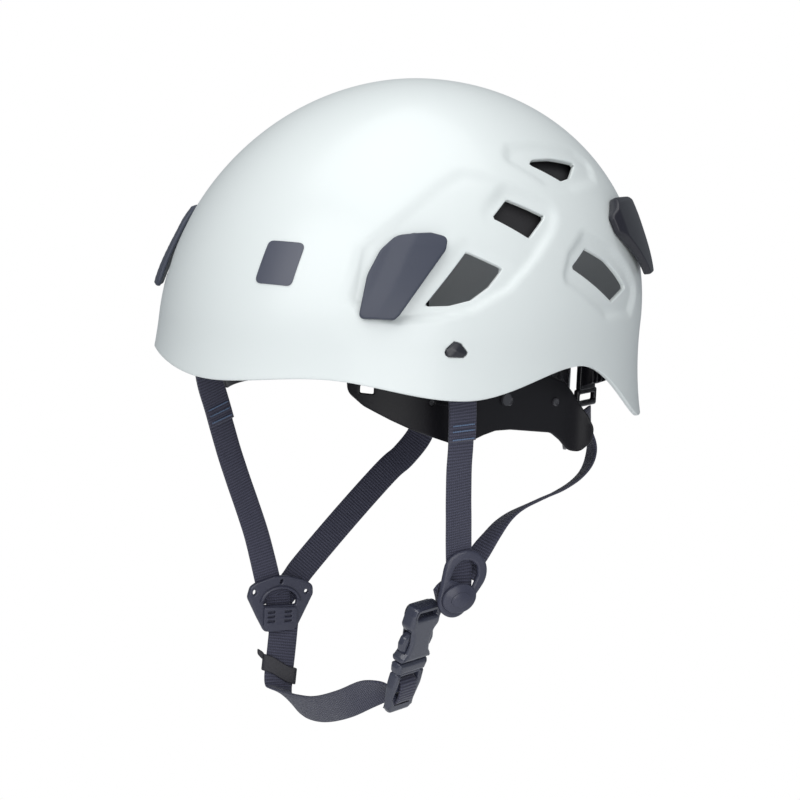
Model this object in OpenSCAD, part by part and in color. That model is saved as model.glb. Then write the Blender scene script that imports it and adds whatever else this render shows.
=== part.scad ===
// Climbing helmet with folding nape cradle, dial adjuster, chin strap and side-release buckle.
// Millimetres, +Z up, the brow faces -Y and the wearer's left side is +X.

/* [Shell] */
// Half width of the shell at its widest, outside
shell_half_width = 113; // [100:125]
// Distance from the centre to the brow, outside
shell_front = 132; // [118:145]
// Distance from the centre to the back, outside
shell_rear = 150; // [135:165]
// Height of the crown above the brow level, outside
shell_height = 125; // [110:140]
// Shell wall thickness
shell_wall = 2; // [1.5:0.5:4]
// How far the dome leans back for each millimetre it rises
shell_lean = 0.11; // [0:0.01:0.2]
// Opening of the shell flare below brow level, as a share of its size
shell_flare = 0.012; // [0:0.001:0.03]

/* [Liner] */
// Thickness of the crown foam
liner_thick = 18; // [12:24]
// Height of the crown foam's lower edge
liner_low = 44; // [38:60]
// Thickness of the crown comfort pad
pad_thick = 5; // [3:8]

/* [Headband] */
// Inside radius of the headband's round front and back
band_inner = 75; // [72:80]
// Headband wall thickness
band_wall = 1.9; // [1.5:0.1:3]
// Centre of the headband's front arc
band_front_y = -18; // [-25:-10]
// Centre of the cradle arms' rear arc
band_rear_y = 27.5; // [20:32]
// Thickness of the brow pad
brow_pad_thick = 4; // [2:6]
// Height of the far panel's trimmed lower edge
far_panel_low = -41; // [-50:-40]

/* [Nape cradle] */
// Middle radius of the cradle arms
arm_radius = 72.5; // [71:0.5:73]
// Cradle arm wall thickness
arm_wall = 2.2; // [1.6:0.2:3]
// Height of the temple pivots
pivot_z = -33; // [-38:-28]
// Radius of the temple pivot pins
pin_radius = 3.05; // [2.5:0.05:4]
// Running clearance around the pins, on the radius
pin_clear = 0.06; // [0.02:0.01:0.1]
// Height of the dial's axis
dial_z = -50; // [-56:-48]
// Dial knob radius
dial_radius = 15; // [12:18]
// Pitch radius of the dial's pinion
pinion_radius = 6; // [5:8]
// Number of pinion teeth
pinion_teeth = 10; // [8:2:12]

/* [Straps] */
// Width of the webbing
web_width = 16; // [14:20]
// Thickness of the webbing
web_thick = 1.6; // [1.2:0.1:2]

/* [Buckle] */
// Width of the buckle's socket half
buckle_width = 22; // [20:26]
// Thickness of the buckle
buckle_thick = 8; // [7:10]
// Lean of the buckle from upright, in degrees
buckle_lean = 15.7; // [10:20]
// Turn of the buckle's face towards the front, in degrees
buckle_turn = 93; // [80:100]

/* [Hidden] */
$fn = 48;
eps = 0.01;
mirror_pair = [0, 1];
arm_out = arm_radius + arm_wall / 2;
arm_in = arm_radius - arm_wall / 2;
band_out = band_inner + band_wall;
pinion_pitch = 2 * PI * pinion_radius / pinion_teeth;

// ---------- shell surface ----------

function long_half(t, inset) = (sin(t) > 0 ? shell_rear : shell_front) - inset;
function ring_scale(z, inset) = z > 0
  ? sqrt(max(0, 1 - pow(z / (shell_height - inset), 2)))
  : 1 + shell_flare * pow(z / 25, 2);
function dome(t, z, inset) = [
  (shell_half_width - inset) * cos(t) * ring_scale(z, inset),
  long_half(t, inset) * sin(t) * ring_scale(z, inset) + shell_lean * z,
  z];

// Rim heights at plan angles from the brow (-90) past the ear (5) to the nape (90)
rim_stops = [[-90, -21], [-58, -15.5], [-25, -24.5], [5, -12], [42, -48], [50, -50], [72, -39], [90, -35]];
function ease(f) = f * f * (3 - 2 * f);
function stop_value(t, stops, i) = t <= stops[i + 1][0] || i == len(stops) - 2
  ? stops[i][1] + (stops[i + 1][1] - stops[i][1])
    * ease(min(1, (t - stops[i][0]) / (stops[i + 1][0] - stops[i][0])))
  : stop_value(t, stops, i + 1);
function fold_angle(t) = asin(sin(t));
function rim_z(t) = stop_value(fold_angle(t), rim_stops, 0);

// A closed dome wall between two insets, open below, from low(t) to the crown
module dome_wall(inset_out, inset_in, columns, rows_low, rows_high, use_rim, low) {
  rows = rows_low + rows_high;
  function base_z(t) = use_rim ? rim_z(t) : low;
  function row_z(t, j, inset) = j < rows_low
    ? base_z(t) * (1 - j / rows_low) + (use_rim ? 0 : low) * (j / rows_low)
    : (use_rim ? 0 : low) + ((shell_height - inset) - (use_rim ? 0 : low))
      * sin(90 * (j - rows_low) / rows_high);
  out_points = [for (j = [0:rows - 1]) for (i = [0:columns - 1])
    let (t = 360 * i / columns) dome(t, row_z(t, j, inset_out), inset_out)];
  in_points = [for (j = [0:rows - 1]) for (i = [0:columns - 1])
    let (t = 360 * i / columns) dome(t, row_z(t, j, inset_in), inset_in)];
  n = rows * columns;
  tops = [[0, shell_lean * (shell_height - inset_out), shell_height - inset_out],
    [0, shell_lean * (shell_height - inset_in), shell_height - inset_in]];
  function at(j, i) = j * columns + (i % columns);
  out_faces = [for (j = [0:rows - 2]) for (i = [0:columns - 1]) for (k = [0, 1])
    k == 0 ? [at(j, i), at(j + 1, i), at(j, i + 1)] : [at(j, i + 1), at(j + 1, i), at(j + 1, i + 1)]];
  in_faces = [for (j = [0:rows - 2]) for (i = [0:columns - 1]) for (k = [0, 1])
    k == 0 ? [n + at(j, i), n + at(j, i + 1), n + at(j + 1, i)]
      : [n + at(j, i + 1), n + at(j + 1, i + 1), n + at(j + 1, i)]];
  rim_faces = [for (i = [0:columns - 1]) for (k = [0, 1])
    k == 0 ? [at(0, i), at(0, i + 1), n + at(0, i)] : [at(0, i + 1), n + at(0, i + 1), n + at(0, i)]];
  top_faces = [for (i = [0:columns - 1]) [at(rows - 1, i), 2 * n, at(rows - 1, i + 1)]];
  low_top_faces = [for (i = [0:columns - 1]) [n + at(rows - 1, i), n + at(rows - 1, i + 1), 2 * n + 1]];
  polyhedron(concat(out_points, in_points, tops),
    concat(out_faces, in_faces, rim_faces, top_faces, low_top_faces), convexity = 6);
}

// Vent outlines as plan angle and height
vent_crown = [[-2, 87], [8, 90], [19, 86], [9, 78]];
vent_upper = [[-21, 61], [-15, 70], [-5, 61], [-11, 52]];
vent_front = [[-36, 20], [-29, 45], [-19, 36], [-25, 26]];
vent_rear = [[3, 36], [9, 44], [22, 24], [15, 18]];
vents = [vent_crown, vent_upper, vent_front, vent_rear];

module vent_cutter(outline) {
  hull()
    for (corner = outline)
      for (inset = [-4, shell_wall + 4])
        translate(dome(corner[0], corner[1], inset)) sphere(r = 1.2, $fn = 6);
}

// ---------- headlamp clips ----------

// A curved plate standing off the shell; corners are [angle, height] at low front, low back, high back, high front
module clip_plate(corners, gap_low, gap_high, thick, across, up) {
  function corner_mix(u, v) = corners[0] * (1 - u) * (1 - v) + corners[1] * u * (1 - v)
    + corners[2] * u * v + corners[3] * (1 - u) * v;
  function gap(v) = gap_low + (gap_high - gap_low) * ease(v);
  function crown_of(u) = 1.2 * (1 - pow(2 * u - 1, 2));
  in_points = [for (j = [0:up]) for (i = [0:across])
    let (q = corner_mix(i / across, j / up)) dome(q[0], q[1], -gap(j / up))];
  out_points = [for (j = [0:up]) for (i = [0:across])
    let (q = corner_mix(0.06 + 0.88 * i / across, 0.04 + 0.92 * j / up))
      dome(q[0], q[1], -gap(j / up) - thick - crown_of(i / across))];
  w = across + 1;
  n = w * (up + 1);
  inner = [for (j = [0:up - 1]) for (i = [0:across - 1]) for (k = [0, 1])
    let (a = j * w + i) k == 0 ? [a, a + 1, a + w] : [a + 1, a + w + 1, a + w]];
  outer = [for (j = [0:up - 1]) for (i = [0:across - 1]) for (k = [0, 1])
    let (a = n + j * w + i) k == 0 ? [a, a + w, a + 1] : [a + 1, a + w, a + w + 1]];
  low_side = [for (i = [0:across - 1]) for (k = [0, 1])
    k == 0 ? [i, n + i, i + 1] : [i + 1, n + i, n + i + 1]];
  top_side = [for (i = [0:across - 1]) for (k = [0, 1]) let (a = up * w + i)
    k == 0 ? [a, a + 1, n + a] : [a + 1, n + a + 1, n + a]];
  front_side = [for (j = [0:up - 1]) for (k = [0, 1]) let (a = j * w)
    k == 0 ? [a, a + w, n + a] : [a + w, n + a + w, n + a]];
  back_side = [for (j = [0:up - 1]) for (k = [0, 1]) let (a = j * w + across)
    k == 0 ? [a, n + a, a + w] : [a + w, n + a, n + a + w]];
  polyhedron(concat(in_points, out_points),
    concat(inner, outer, low_side, top_side, front_side, back_side), convexity = 4);
}

clip_front_corners = [[-51, 14], [-43, 12], [-33, 53], [-48, 53]];
clip_rear_corners = [[43, 27], [36, 28], [23, 62], [41, 66]];

// ---------- webbing ----------

function mix(a, b, f) = a * (1 - f) + b * f;
function unit(v) = v / norm(v);
function curve_at(pts, s) = let (
    i = min(len(pts) - 2, floor(s)), f = s - i,
    p1 = pts[i], p2 = pts[i + 1],
    p0 = i > 0 ? pts[i - 1] : 2 * p1 - p2,
    p3 = i < len(pts) - 2 ? pts[i + 2] : 2 * p2 - p1)
  0.5 * (2 * p1 + (p2 - p0) * f + (2 * p0 - 5 * p1 + 4 * p2 - p3) * f * f
    + (3 * p1 - p0 - 3 * p2 + p3) * f * f * f);

// Frame of a flat strip at step k of steps: centre, direction and width direction
function strip_centre(points, k, steps) = curve_at(points, (len(points) - 1) * k / steps);
function strip_tangent(points, k, steps) = unit(strip_centre(points, min(steps, k + 0.5), steps)
  - strip_centre(points, max(0, k - 0.5), steps));
function strip_side(points, across, k, steps) = let (
    w = curve_at(across, (len(across) - 1) * k / steps),
    g = strip_tangent(points, k, steps))
  unit(w - g * (w * g));

// A flat strip along points, its width along the matching directions
module webbing(points, across, steps, width, thick) {
  function corner(k, a, b) = let (
      g = strip_tangent(points, k, steps),
      w = strip_side(points, across, k, steps))
    strip_centre(points, k, steps) + w * (a * width / 2) + cross(g, w) * (b * thick / 2);
  pts = [for (k = [0:steps]) for (c = [[-1, -1], [1, -1], [1, 1], [-1, 1]]) corner(k, c[0], c[1])];
  sides = [for (k = [0:steps - 1]) for (c = [0:3]) for (h = [0, 1])
    let (a = 4 * k + c, b = 4 * k + (c + 1) % 4)
      h == 0 ? [a, a + 4, b] : [b, a + 4, b + 4]];
  n = 4 * steps;
  polyhedron(pts, concat(sides, [[0, 1, 2], [0, 2, 3], [n, n + 2, n + 1], [n, n + 3, n + 2]]), convexity = 4);
}

// Puts children on a strip: their X across it, their Z along it
module on_strip(points, across, k, steps) {
  c = strip_centre(points, k, steps);
  g = strip_tangent(points, k, steps);
  w = strip_side(points, across, k, steps);
  n = cross(g, w);
  multmatrix([[w[0], n[0], g[0], c[0]], [w[1], n[1], g[1], c[1]], [w[2], n[2], g[2], c[2]], [0, 0, 0, 1]]) children();
}

// ---------- shared placing ----------

module both_sides() {
  children();
  mirror([1, 0, 0]) children();
}
module at_buckle() {
  translate([55, -38, -165]) rotate([0, buckle_lean, 0]) rotate([0, 0, buckle_turn]) children();
}
module at_yoke(side_sign, place, turn) {
  translate(place) rotate([0, 0, turn]) rotate([90, 0, 90]) scale_side(side_sign) children();
}
module scale_side(side_sign) {
  if (side_sign > 0) children();
  else mirror([0, 0, 1]) children();
}

// An upright wall that follows a round arc, between two plan angles
module arc_wall(centre_y, r_in, r_out, angle_from, angle_to, z_from, z_to) {
  translate([0, centre_y, z_from]) linear_extrude(height = z_to - z_from)
    difference() {
      circle(r = r_out, $fn = 96);
      circle(r = r_in, $fn = 96);
      sector_rest(angle_from, angle_to, r_out * 2.5);
    }
}
// The plane outside a sector of less than half a turn
module sector_rest(angle_from, angle_to, reach) {
  rotate(angle_to) translate([-reach, 0]) square([2 * reach, reach]);
  rotate(angle_from) translate([-reach, -reach]) square([2 * reach, reach]);
}
// Side outline (Y, Z) pushed through the whole width of one side
module side_prism(points, x_from, x_to) {
  translate([x_from, 0, 0]) rotate([90, 0, 90]) linear_extrude(height = x_to - x_from) polygon(points);
}

// ---------- root body ----------

module shell() {
  color([0.91, 0.93, 0.92]) difference() {
    dome_wall(0, shell_wall, 96, 3, 11, true, 0);
    for (outline = vents) {
      vent_cutter(outline);
      mirror([1, 0, 0]) vent_cutter(outline);
    }
    for (m = mirror_pair) mirror([m, 0, 0])
      hull() for (inset = [-3, 6]) translate(dome(-29, -2, inset)) sphere(r = 2.5, $fn = 8);
  }
}

module crown_liner() {
  color([0.10, 0.10, 0.11]) dome_wall(shell_wall + 0.6, shell_wall + 0.6 + liner_thick, 48, 1, 7, false, liner_low);
}

module crown_pad() {
  inset = shell_wall + 1.1 + liner_thick;
  color([0.15, 0.15, 0.17]) dome_wall(inset, inset + pad_thick, 36, 1, 4, false, 82);
}

module brow_band() {
  color([0.12, 0.12, 0.13])
    arc_wall(band_front_y, band_inner, band_out, -123.8, -56.2, -16, 4);
}

module brow_pad() {
  color([0.16, 0.16, 0.18])
    arc_wall(band_front_y, band_inner - 0.3 - brow_pad_thick, band_inner - 0.3, -140, -40, -15, 2);
}

panel_outline = [[-92, -14], [-60, -3], [-30, 2], [10, 0], [22, -14], [31, -23], [44, -27], [50, -30], [50, -61.5], [45, -58.4],
  [39, -54.2], [5.8, -49.3], [-6, -48.7], [-15, -50], [-26, -52.6], [-33, -53], [-38, -52], [-45.6, -49.1], [-58.4, -43.8],
  [-65.4, -40], [-75, -33.5], [-79.5, -28], [-80.5, -24], [-92, -20]];

// The panel's rear end curls outward into a short ear
ear_curl = 14;
ear_outline = [[49.9, -30], [52.5, -34], [55, -40], [59.5, -46.5], [62, -53], [61, -60], [57, -64.5], [52, -63.5],
  [49.9, -61.45]];
module side_panel() {
  color([0.12, 0.12, 0.13]) difference() {
    union() {
      intersection() {
        union() {
          arc_wall(band_front_y, band_inner, band_out, -56, 0, -64, 10);
          translate([band_inner, band_front_y, -64]) cube([band_wall, 68, 74]);
        }
        side_prism(panel_outline, 0, 100);
      }
      intersection() {
        translate([band_inner + ear_curl + band_wall, 0, 0])
          arc_wall(50, ear_curl, ear_curl + band_wall, 128, 180, -68, -28);
        side_prism(ear_outline, 0, 100);
      }
    }
    translate([70, 0, pivot_z]) rotate([0, 90, 0]) cylinder(r = 2.1, h = 12);
    translate([0, band_front_y, 0]) rotate([0, 0, -47.6]) translate([70, -2.9, -26.6]) cube([12, 5.8, 3.6]);
    translate([0, band_front_y, -31.6]) rotate([0, 0, -23.6]) rotate([0, 90, 0]) cylinder(r = 1.3, h = 90);
  }
}
module side_panel_left() { side_panel(); }
module side_panel_right() {
  mirror([1, 0, 0]) difference() {
    side_panel();
    translate([0, -120, -100]) cube([120, 240, 100 + far_panel_low]);
  }
}

module panel_studs() {
  color([0.25, 0.25, 0.27]) both_sides()
    translate([band_out + 0.1, 40, -38]) rotate([0, 90, 0]) cylinder(r = 2.4, h = 1.2);
}

module band_posts() {
  color([0.18, 0.18, 0.20]) both_sides() {
    translate([band_out + 0.15, -12, -2]) rotate([0, 90, 0]) cylinder(r = 4, h = 30.5);
    rotate([0, 0, -66]) translate([band_out + 16.5, 0, -6]) rotate([0, 90, 0]) cylinder(r = 4, h = 28);
  }
}

module temple_pins() {
  color([0.45, 0.46, 0.48]) both_sides() translate([0, 0, pivot_z]) rotate([0, 90, 0]) {
    translate([0, 0, band_inner - 13.4]) cylinder(r = 5, h = 1.7);
    translate([0, 0, band_inner - 12]) cylinder(r = pin_radius, h = 11.85);
    translate([0, 0, band_inner - 1]) cylinder(r = 2, h = 4);
    translate([0, 0, band_out + 0.1]) cylinder(r = 3.2, h = 1.3);
  }
}

module side_plug() {
  p = dome(-29, -2, -0.75);
  color([0.20, 0.21, 0.26]) translate(p) rotate([0, 0, -32]) {
    rotate([90, 0, 90]) linear_extrude(height = 1.6) polygon([[-6, 0], [-1, 5], [5, 1.5], [4.6, -2.6], [-0.5, -5]]);
    translate([-7, 0, 0]) rotate([0, 90, 0]) cylinder(r = 1.8, h = 7.5);
    translate([-8.5, 0, 0]) rotate([0, 90, 0]) cylinder(r = 5, h = 1.6);
  }
}
module side_plug_left() { side_plug(); }
module side_plug_right() { mirror([1, 0, 0]) side_plug(); }

module clip_front() { color([0.28, 0.29, 0.35]) clip_plate(clip_front_corners, 2.8, 0.3, 3, 5, 8); }
module clip_rear() { color([0.20, 0.20, 0.24]) mirror([1, 0, 0]) clip_plate(clip_rear_mirror(), 2.8, 0.3, 3, 5, 8); }
function clip_rear_mirror() = [for (c = clip_rear_corners) [180 - c[0], c[1]]];
module headlamp_clip_front_left() { clip_front(); }
module headlamp_clip_front_right() { mirror([1, 0, 0]) clip_front(); }
module headlamp_clip_rear_left() { clip_rear(); }
module headlamp_clip_rear_right() { mirror([1, 0, 0]) clip_rear(); }

module front_badge() {
  color([0.24, 0.25, 0.29]) clip_plate([[-77, 25], [-68, 24], [-66, 47], [-77, 48]], 0.15, 0.15, 0.5, 4, 4);
}

module strap_hanger() {
  color([0.10, 0.10, 0.11]) translate([62.6, 83.7, -15]) rotate([0, 0, 8]) {
    translate([-1.5, -8, -22]) cube([3, 16, 38]);
    for (y = [-7.4, -2.8, 1.8, 6.2]) translate([1.4, y, -20]) cube([7, 1.2, 32]);
    translate([-1.5, -10, -31]) cube([3, 20, 3]);
    translate([-1.5, -10, -28.5]) cube([3, 2.4, 7]);
    translate([-1.5, 7.6, -28.5]) cube([3, 2.4, 7]);
    rotate([0, 0, 39]) translate([1, 0, 21]) rotate([0, 90, 0]) cylinder(r = 3.5, h = 23.2);
    translate([-1.5, -5, 15]) cube([3, 10, 10]);
  }
}
module strap_hanger_left() { strap_hanger(); }
module strap_hanger_right() { mirror([1, 0, 0]) strap_hanger(); }

web_color = [0.25, 0.25, 0.32];
front_left_points = [[90.6, -58.4, 3], [90.2, -57.6, -5], [88.5, -49, -17], [88, -46, -29], [87, -44, -48], [85, -42, -63],
  [79.6, -34.5, -89], [74, -26.6, -110], [73.4, -24.8, -119]];
front_left_across = [[0.55, 0.83, 0], [0.5, 0.86, 0], [0.4, 0.92, 0], [0.34, 0.94, 0], [0.34, 0.94, 0], [0.34, 0.94, 0],
  [0.38, 0.92, 0], [0.42, 0.9, 0], [0.42, 0.9, 0]];
front_right_points = [[-90.6, -58.4, 3], [-90.2, -57.8, -5], [-88.5, -56, -20], [-88, -53, -39], [-88, -45, -59],
  [-86, -34, -90], [-81.4, -21.4, -124], [-77.6, -15.6, -148], [-76.2, -12.6, -160]];
front_right_across = [[-0.5, 0.86, 0], [-0.4, 0.9, 0], [-0.1, 0.97, 0.1], [0.2, 0.96, 0.25], [0.2, 0.95, 0.3], [0.2, 0.95, 0.3],
  [0.25, 0.93, 0.25], [0.4, 0.9, 0.2], [0.42, 0.9, 0.1]];
rear_left_points = [[62.8, 84.4, -47.9], [64.6, 87, -58], [67, 86.5, -70], [70, 76.8, -80], [73, 56, -86.5], [75.5, 30, -89.5],
  [76.5, 8, -94], [75.6, -4, -103], [73.6, -12, -113]];
rear_left_across = [[0.14, -0.99, 0], [0.6, -0.75, 0.1], [0.82, -0.35, 0.4], [0.85, -0.2, 0.5], [0.88, -0.1, 0.45],
  [0.88, -0.1, 0.45], [0.88, 0, 0.35], [0.85, 0.2, 0.1], [0.7, 0.6, 0]];
rear_right_points = [[-62.6, 84.8, -48.6], [-63, 90, -62], [-62.5, 93, -79], [-64.5, 80, -93.5], [-66.5, 69, -101], [-71, 40, -126],
  [-74.5, 12, -151], [-75, 5, -158]];
rear_right_across = [[0.14, 0.99, 0], [0.6, 0.75, -0.1], [0.68, 0.6, -0.4], [0.63, 0.5, -0.6], [0.62, 0.47, -0.64],
  [0.62, 0.47, -0.64], [0.6, 0.5, -0.6], [0.5, 0.6, -0.6]];
module strap_front_left() {
  color(web_color) webbing(front_left_points, front_left_across, 20, web_width, web_thick);
}
module strap_front_right() {
  color(web_color) webbing(front_right_points, front_right_across, 22, web_width, web_thick);
}
module strap_rear_left() {
  color(web_color) webbing(rear_left_points, rear_left_across, 24, web_width, web_thick);
}
module strap_rear_right() {
  color(web_color) webbing(rear_right_points, rear_right_across, 22, web_width, web_thick);
}

yoke_left_place = [75.8, -24.9, -125];
yoke_right_place = [-75, -7, -168];
function arc_points(centre, r, from, to, steps) = [for (i = [0:steps])
  let (a = from + (to - from) * i / steps) centre + r * [cos(a), sin(a)]];
module yoke_plate(half_top) {
  outline = concat(
    arc_points([half_top, 7], 7, -12, 90, 8),
    arc_points([-half_top, 7], 7, 90, 192, 8),
    arc_points([0, -7], 9, 192, 348, 12));
  difference() {
    linear_extrude(height = 3.2) polygon(outline);
    translate([-half_top - 1, 3.5, -1]) cube([2 * half_top + 2, 6, 6]);
    translate([-6, -4, -1]) cube([12, 3, 6]);
  }
}
// The near yoke is an egg: a big round end above a small one, tilted
module egg(top_radius, low_radius, gap) {
  slope = asin((top_radius - low_radius) / gap);
  polygon(concat(arc_points([0, gap / 2], top_radius, -slope, 180 + slope, 28),
    arc_points([0, -gap / 2], low_radius, 180 + slope, 360 - slope, 20)));
}
module tilted() { translate([-2.5, -3, 0]) rotate([0, 0, -22.8]) children(); }
module yoke_left() {
  color([0.24, 0.25, 0.30]) at_yoke(1, yoke_left_place, -25) tilted() difference() {
    linear_extrude(height = 3.2) egg(10.8, 7.5, 15);
    translate([0, 0, -1]) linear_extrude(height = 6)
      polygon(concat(arc_points([0, 7.8], 6.6, 0, 180, 16), [[-6.6, 1.6], [6.6, 1.6]]));
  }
}
module yoke_right() { color([0.24, 0.25, 0.30]) at_yoke(-1, yoke_right_place, -25) yoke_plate(10); }
module yoke_cap_left() {
  color([0.20, 0.21, 0.26]) at_yoke(1, yoke_left_place, -25) tilted()
    translate([0, -6.4, 3.4]) scale([7.6, 6.4, 1]) cylinder(r = 1, h = 1.8);
}
module yoke_cap_right() {
  color([0.20, 0.21, 0.26]) at_yoke(-1, yoke_right_place, -25) translate([0, -7, 3.4]) difference() {
    cylinder(r = 8.2, h = 1.8);
    translate([-10, 2.4, -1]) cube([20, 12, 5]);
  }
}

strap_buckle_points = [[71.6, -26.5, -127.5], [69.2, -30.4, -129], [66.6, -34.6, -131.4]];
strap_buckle_across = [[0.5, 0.6, -0.6], [0.3, 0.85, -0.4], [0.05, 0.98, -0.15]];
module strap_buckle_left() {
  color(web_color) webbing(strap_buckle_points, strap_buckle_across, 8, web_width * 0.8, web_thick);
}

half_b = buckle_width / 2;
module buckle_socket() {
  color([0.16, 0.17, 0.21]) at_buckle() difference() {
    union() {
      translate([-half_b, -buckle_thick / 2, 0]) cube([buckle_width, buckle_thick, 24]);
      translate([-half_b + 1, -2, 23]) cube([buckle_width - 2, 4, 8]);
    }
    translate([-half_b + 2, -2.4, -1]) cube([buckle_width - 4, 4.8, 21]);
    translate([-half_b - 1, -2.4, 6]) cube([buckle_width + 2, 4.8, 10]);
    translate([-half_b + 3, -3, 25.5]) cube([buckle_width - 6, 6, 2.6]);
  }
}

// ---------- nape cradle ----------

module cradle_housing() {
  color([0.11, 0.11, 0.12]) difference() {
    translate([-17, 92.4, dial_z - 14]) cube([34, 7.4, 28]);
    translate([-18, 94.6, dial_z - 10.9]) cube([36, 6, 21.8]);
    translate([0, 90, dial_z]) rotate([-90, 0, 0]) cylinder(r = 2.06, h = 10);
  }
}

module cradle_cover() {
  color([0.14, 0.14, 0.15]) difference() {
    union() {
      translate([-17, 100, dial_z - 14]) cube([34, 2.2, 28]);
      translate([0, 102, dial_z]) rotate([-90, 0, 0]) cylinder(r = 9, h = 1.2);
    }
    translate([0, 95, dial_z]) rotate([-90, 0, 0]) cylinder(r = 3.06, h = 12);
  }
}

module cradle_pad() {
  color([0.17, 0.17, 0.19]) translate([-21, 88, dial_z - 16]) cube([42, 4.1, 32]);
}

module pinion_profile() {
  difference() {
    union() {
      circle(r = 4.6);
      for (i = [0:pinion_teeth - 1]) rotate(i * 360 / pinion_teeth)
        polygon([[-0.85, 4], [0.85, 4], [0.45, 7.1], [-0.45, 7.1]]);
    }
  }
}

module dial() {
  color([0.13, 0.13, 0.14]) translate([0, 0, dial_z]) rotate([-90, 0, 0]) {
    translate([0, 0, 96.3]) linear_extrude(height = 2.6) pinion_profile();
    translate([0, 0, 93]) cylinder(r = 2, h = 4);
    translate([0, 0, 98.5]) cylinder(r = 3, h = 6);
    difference() {
      translate([0, 0, 103.6]) cylinder(r = dial_radius, h = 7.5);
      for (i = [0:11]) rotate(30 * i) translate([dial_radius + 1.6, 0, 102]) cylinder(r = 3, h = 11, $fn = 24);
      translate([0, 0, 109.9]) cylinder(r = 8, h = 3);
    }
  }
}

arm_outline = [[-7, -31], [-4, -26.5], [4, -26.5], [10, -27], [31, -24], [44, -22.5], [66, -22.5], [76, -27],
  [83, -36], [87, dial_z + 10.4], [100, dial_z + 10.4],
  [100, dial_z + 7.5], [96, -44], [92, -50], [90, -57], [86, -64], [80, -68.6], [73, -70], [69.5, -68], [63, -61.4], [55, -57],
  [42, -52], [22, -44], [6, -39], [-4, -39.6], [-7, -35]];

module arm_rack(teeth_down) {
  z_bar = teeth_down ? dial_z + 7.5 : dial_z - 10.4;
  translate([-13, 96.4, z_bar]) cube([36, 2.4, 2.9]);
  for (i = [-3:4])
    translate([(i + 0.5) * pinion_pitch, 98.8, dial_z]) rotate([90, 0, 0]) linear_extrude(height = 2.4)
      scale([1, teeth_down ? 1 : -1]) polygon([[-0.8, 7.6], [0.8, 7.6], [0.42, 4.95], [-0.42, 4.95]]);
}
module arm_strip(outline) {
  difference() {
    intersection() {
      union() {
        arc_wall(band_rear_y, arm_in, arm_out, 0, 76, -80, -20);
        translate([arm_in, -8, -80]) cube([arm_wall, band_rear_y + 8, 60]);
      }
      side_prism(outline, 0, 100);
    }
    translate([60, 0, pivot_z]) rotate([0, 90, 0]) cylinder(r = pin_radius + pin_clear, h = 40);
  }
}
module arm_left() {
  color([0.12, 0.12, 0.13]) union() {
    arm_strip(arm_outline);
    arm_rack(true);
  }
}
arm_outline_low = [[-7, -31], [-4, -26.5], [4, -26.5], [10, -27], [31, -24], [44, -22.5], [66, -22.5],
  [76, -28], [84, -42], [90, dial_z - 6.5],
  [100, dial_z - 7.5], [100, dial_z - 10.4], [94.2, dial_z - 10.4], [90, -63], [84, -66.5], [78, -69], [72, -69.5],
  [66, -65], [55, -58], [42, -52], [22, -44], [6, -39], [-4, -39.6], [-7, -35]];
module arm_right() {
  color([0.12, 0.12, 0.13]) union() {
    mirror([1, 0, 0]) arm_strip(arm_outline_low);
    mirror([1, 0, 0]) arm_rack(false);
  }
}

// ---------- chin strap and buckle plug ----------

chin_points = [[-71.2, -5.5, -184.5], [-69.4, -8.4, -197.1], [-67.7, -11.2, -209.6], [-64, -12.9, -215.2], [-54, -15.3, -218.6],
  [-38, -20, -217.5], [-18, -26, -212.5], [6, -33.4, -202], [24, -37, -192], [36, -37.5, -186.5], [43.5, -35.2, -184.6]];
chin_across = [[0.6, 0.78, 0], [0.6, 0.78, -0.1], [0.6, 0.76, -0.1], [0.5, 0.7, -0.5], [0.3, 0.6, -0.75],
  [0.13, 0.45, -0.88], [0.1, 0.4, -0.9], [0.2, 0.3, -0.9], [0.25, 0.4, -0.85], [0.2, 0.7, -0.65], [0.05, 0.95, -0.3]];
chin_steps = 60;
module chin_strap() {
  color(web_color) webbing(chin_points, chin_across, chin_steps, web_width, web_thick);
}

module buckle_plug() {
  color([0.16, 0.17, 0.21]) at_buckle() difference() {
    union() {
      translate([-half_b + 0.5, -3.4, -7]) cube([buckle_width - 1, 6.8, 6.6]);
      translate([-2.2, -2.1, -1]) cube([4.4, 4.2, 17]);
      translate([-half_b + 0.5, -2.2, -30]) cube([buckle_width - 1, 4.4, 23.5]);
    }
    translate([-half_b + 3, -4, -28]) cube([buckle_width - 6, 8, 5]);
    translate([-half_b + 3, -4, -20]) cube([buckle_width - 6, 8, 4]);
    translate([-half_b + 3, -4, -13]) cube([buckle_width - 6, 8, 3.4]);
  }
}

module buckle_prongs() {
  color([0.16, 0.17, 0.21]) at_buckle() for (m = mirror_pair) mirror([m, 0, 0])
    translate([0, 2, 0]) rotate([90, 0, 0]) linear_extrude(height = 4)
      polygon([[5.5, -0.2], [8.5, -0.2], [8.6, 7], [half_b + 0.8, 7], [half_b + 1, 11], [half_b - 0.6, 14.5], [7.5, 17],
        [6, 16], [6, 5]]);
}

module strap_keeper() {
  color([0.14, 0.14, 0.17]) on_strip(chin_points, chin_across, 9, chin_steps) difference() {
    translate([-web_width / 2 - 2.4, -2.9, -6]) cube([web_width + 4.8, 5.8, 12]);
    translate([-web_width / 2 - 0.7, -1.5, -7]) cube([web_width + 1.4, 3, 14]);
  }
}

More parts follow.
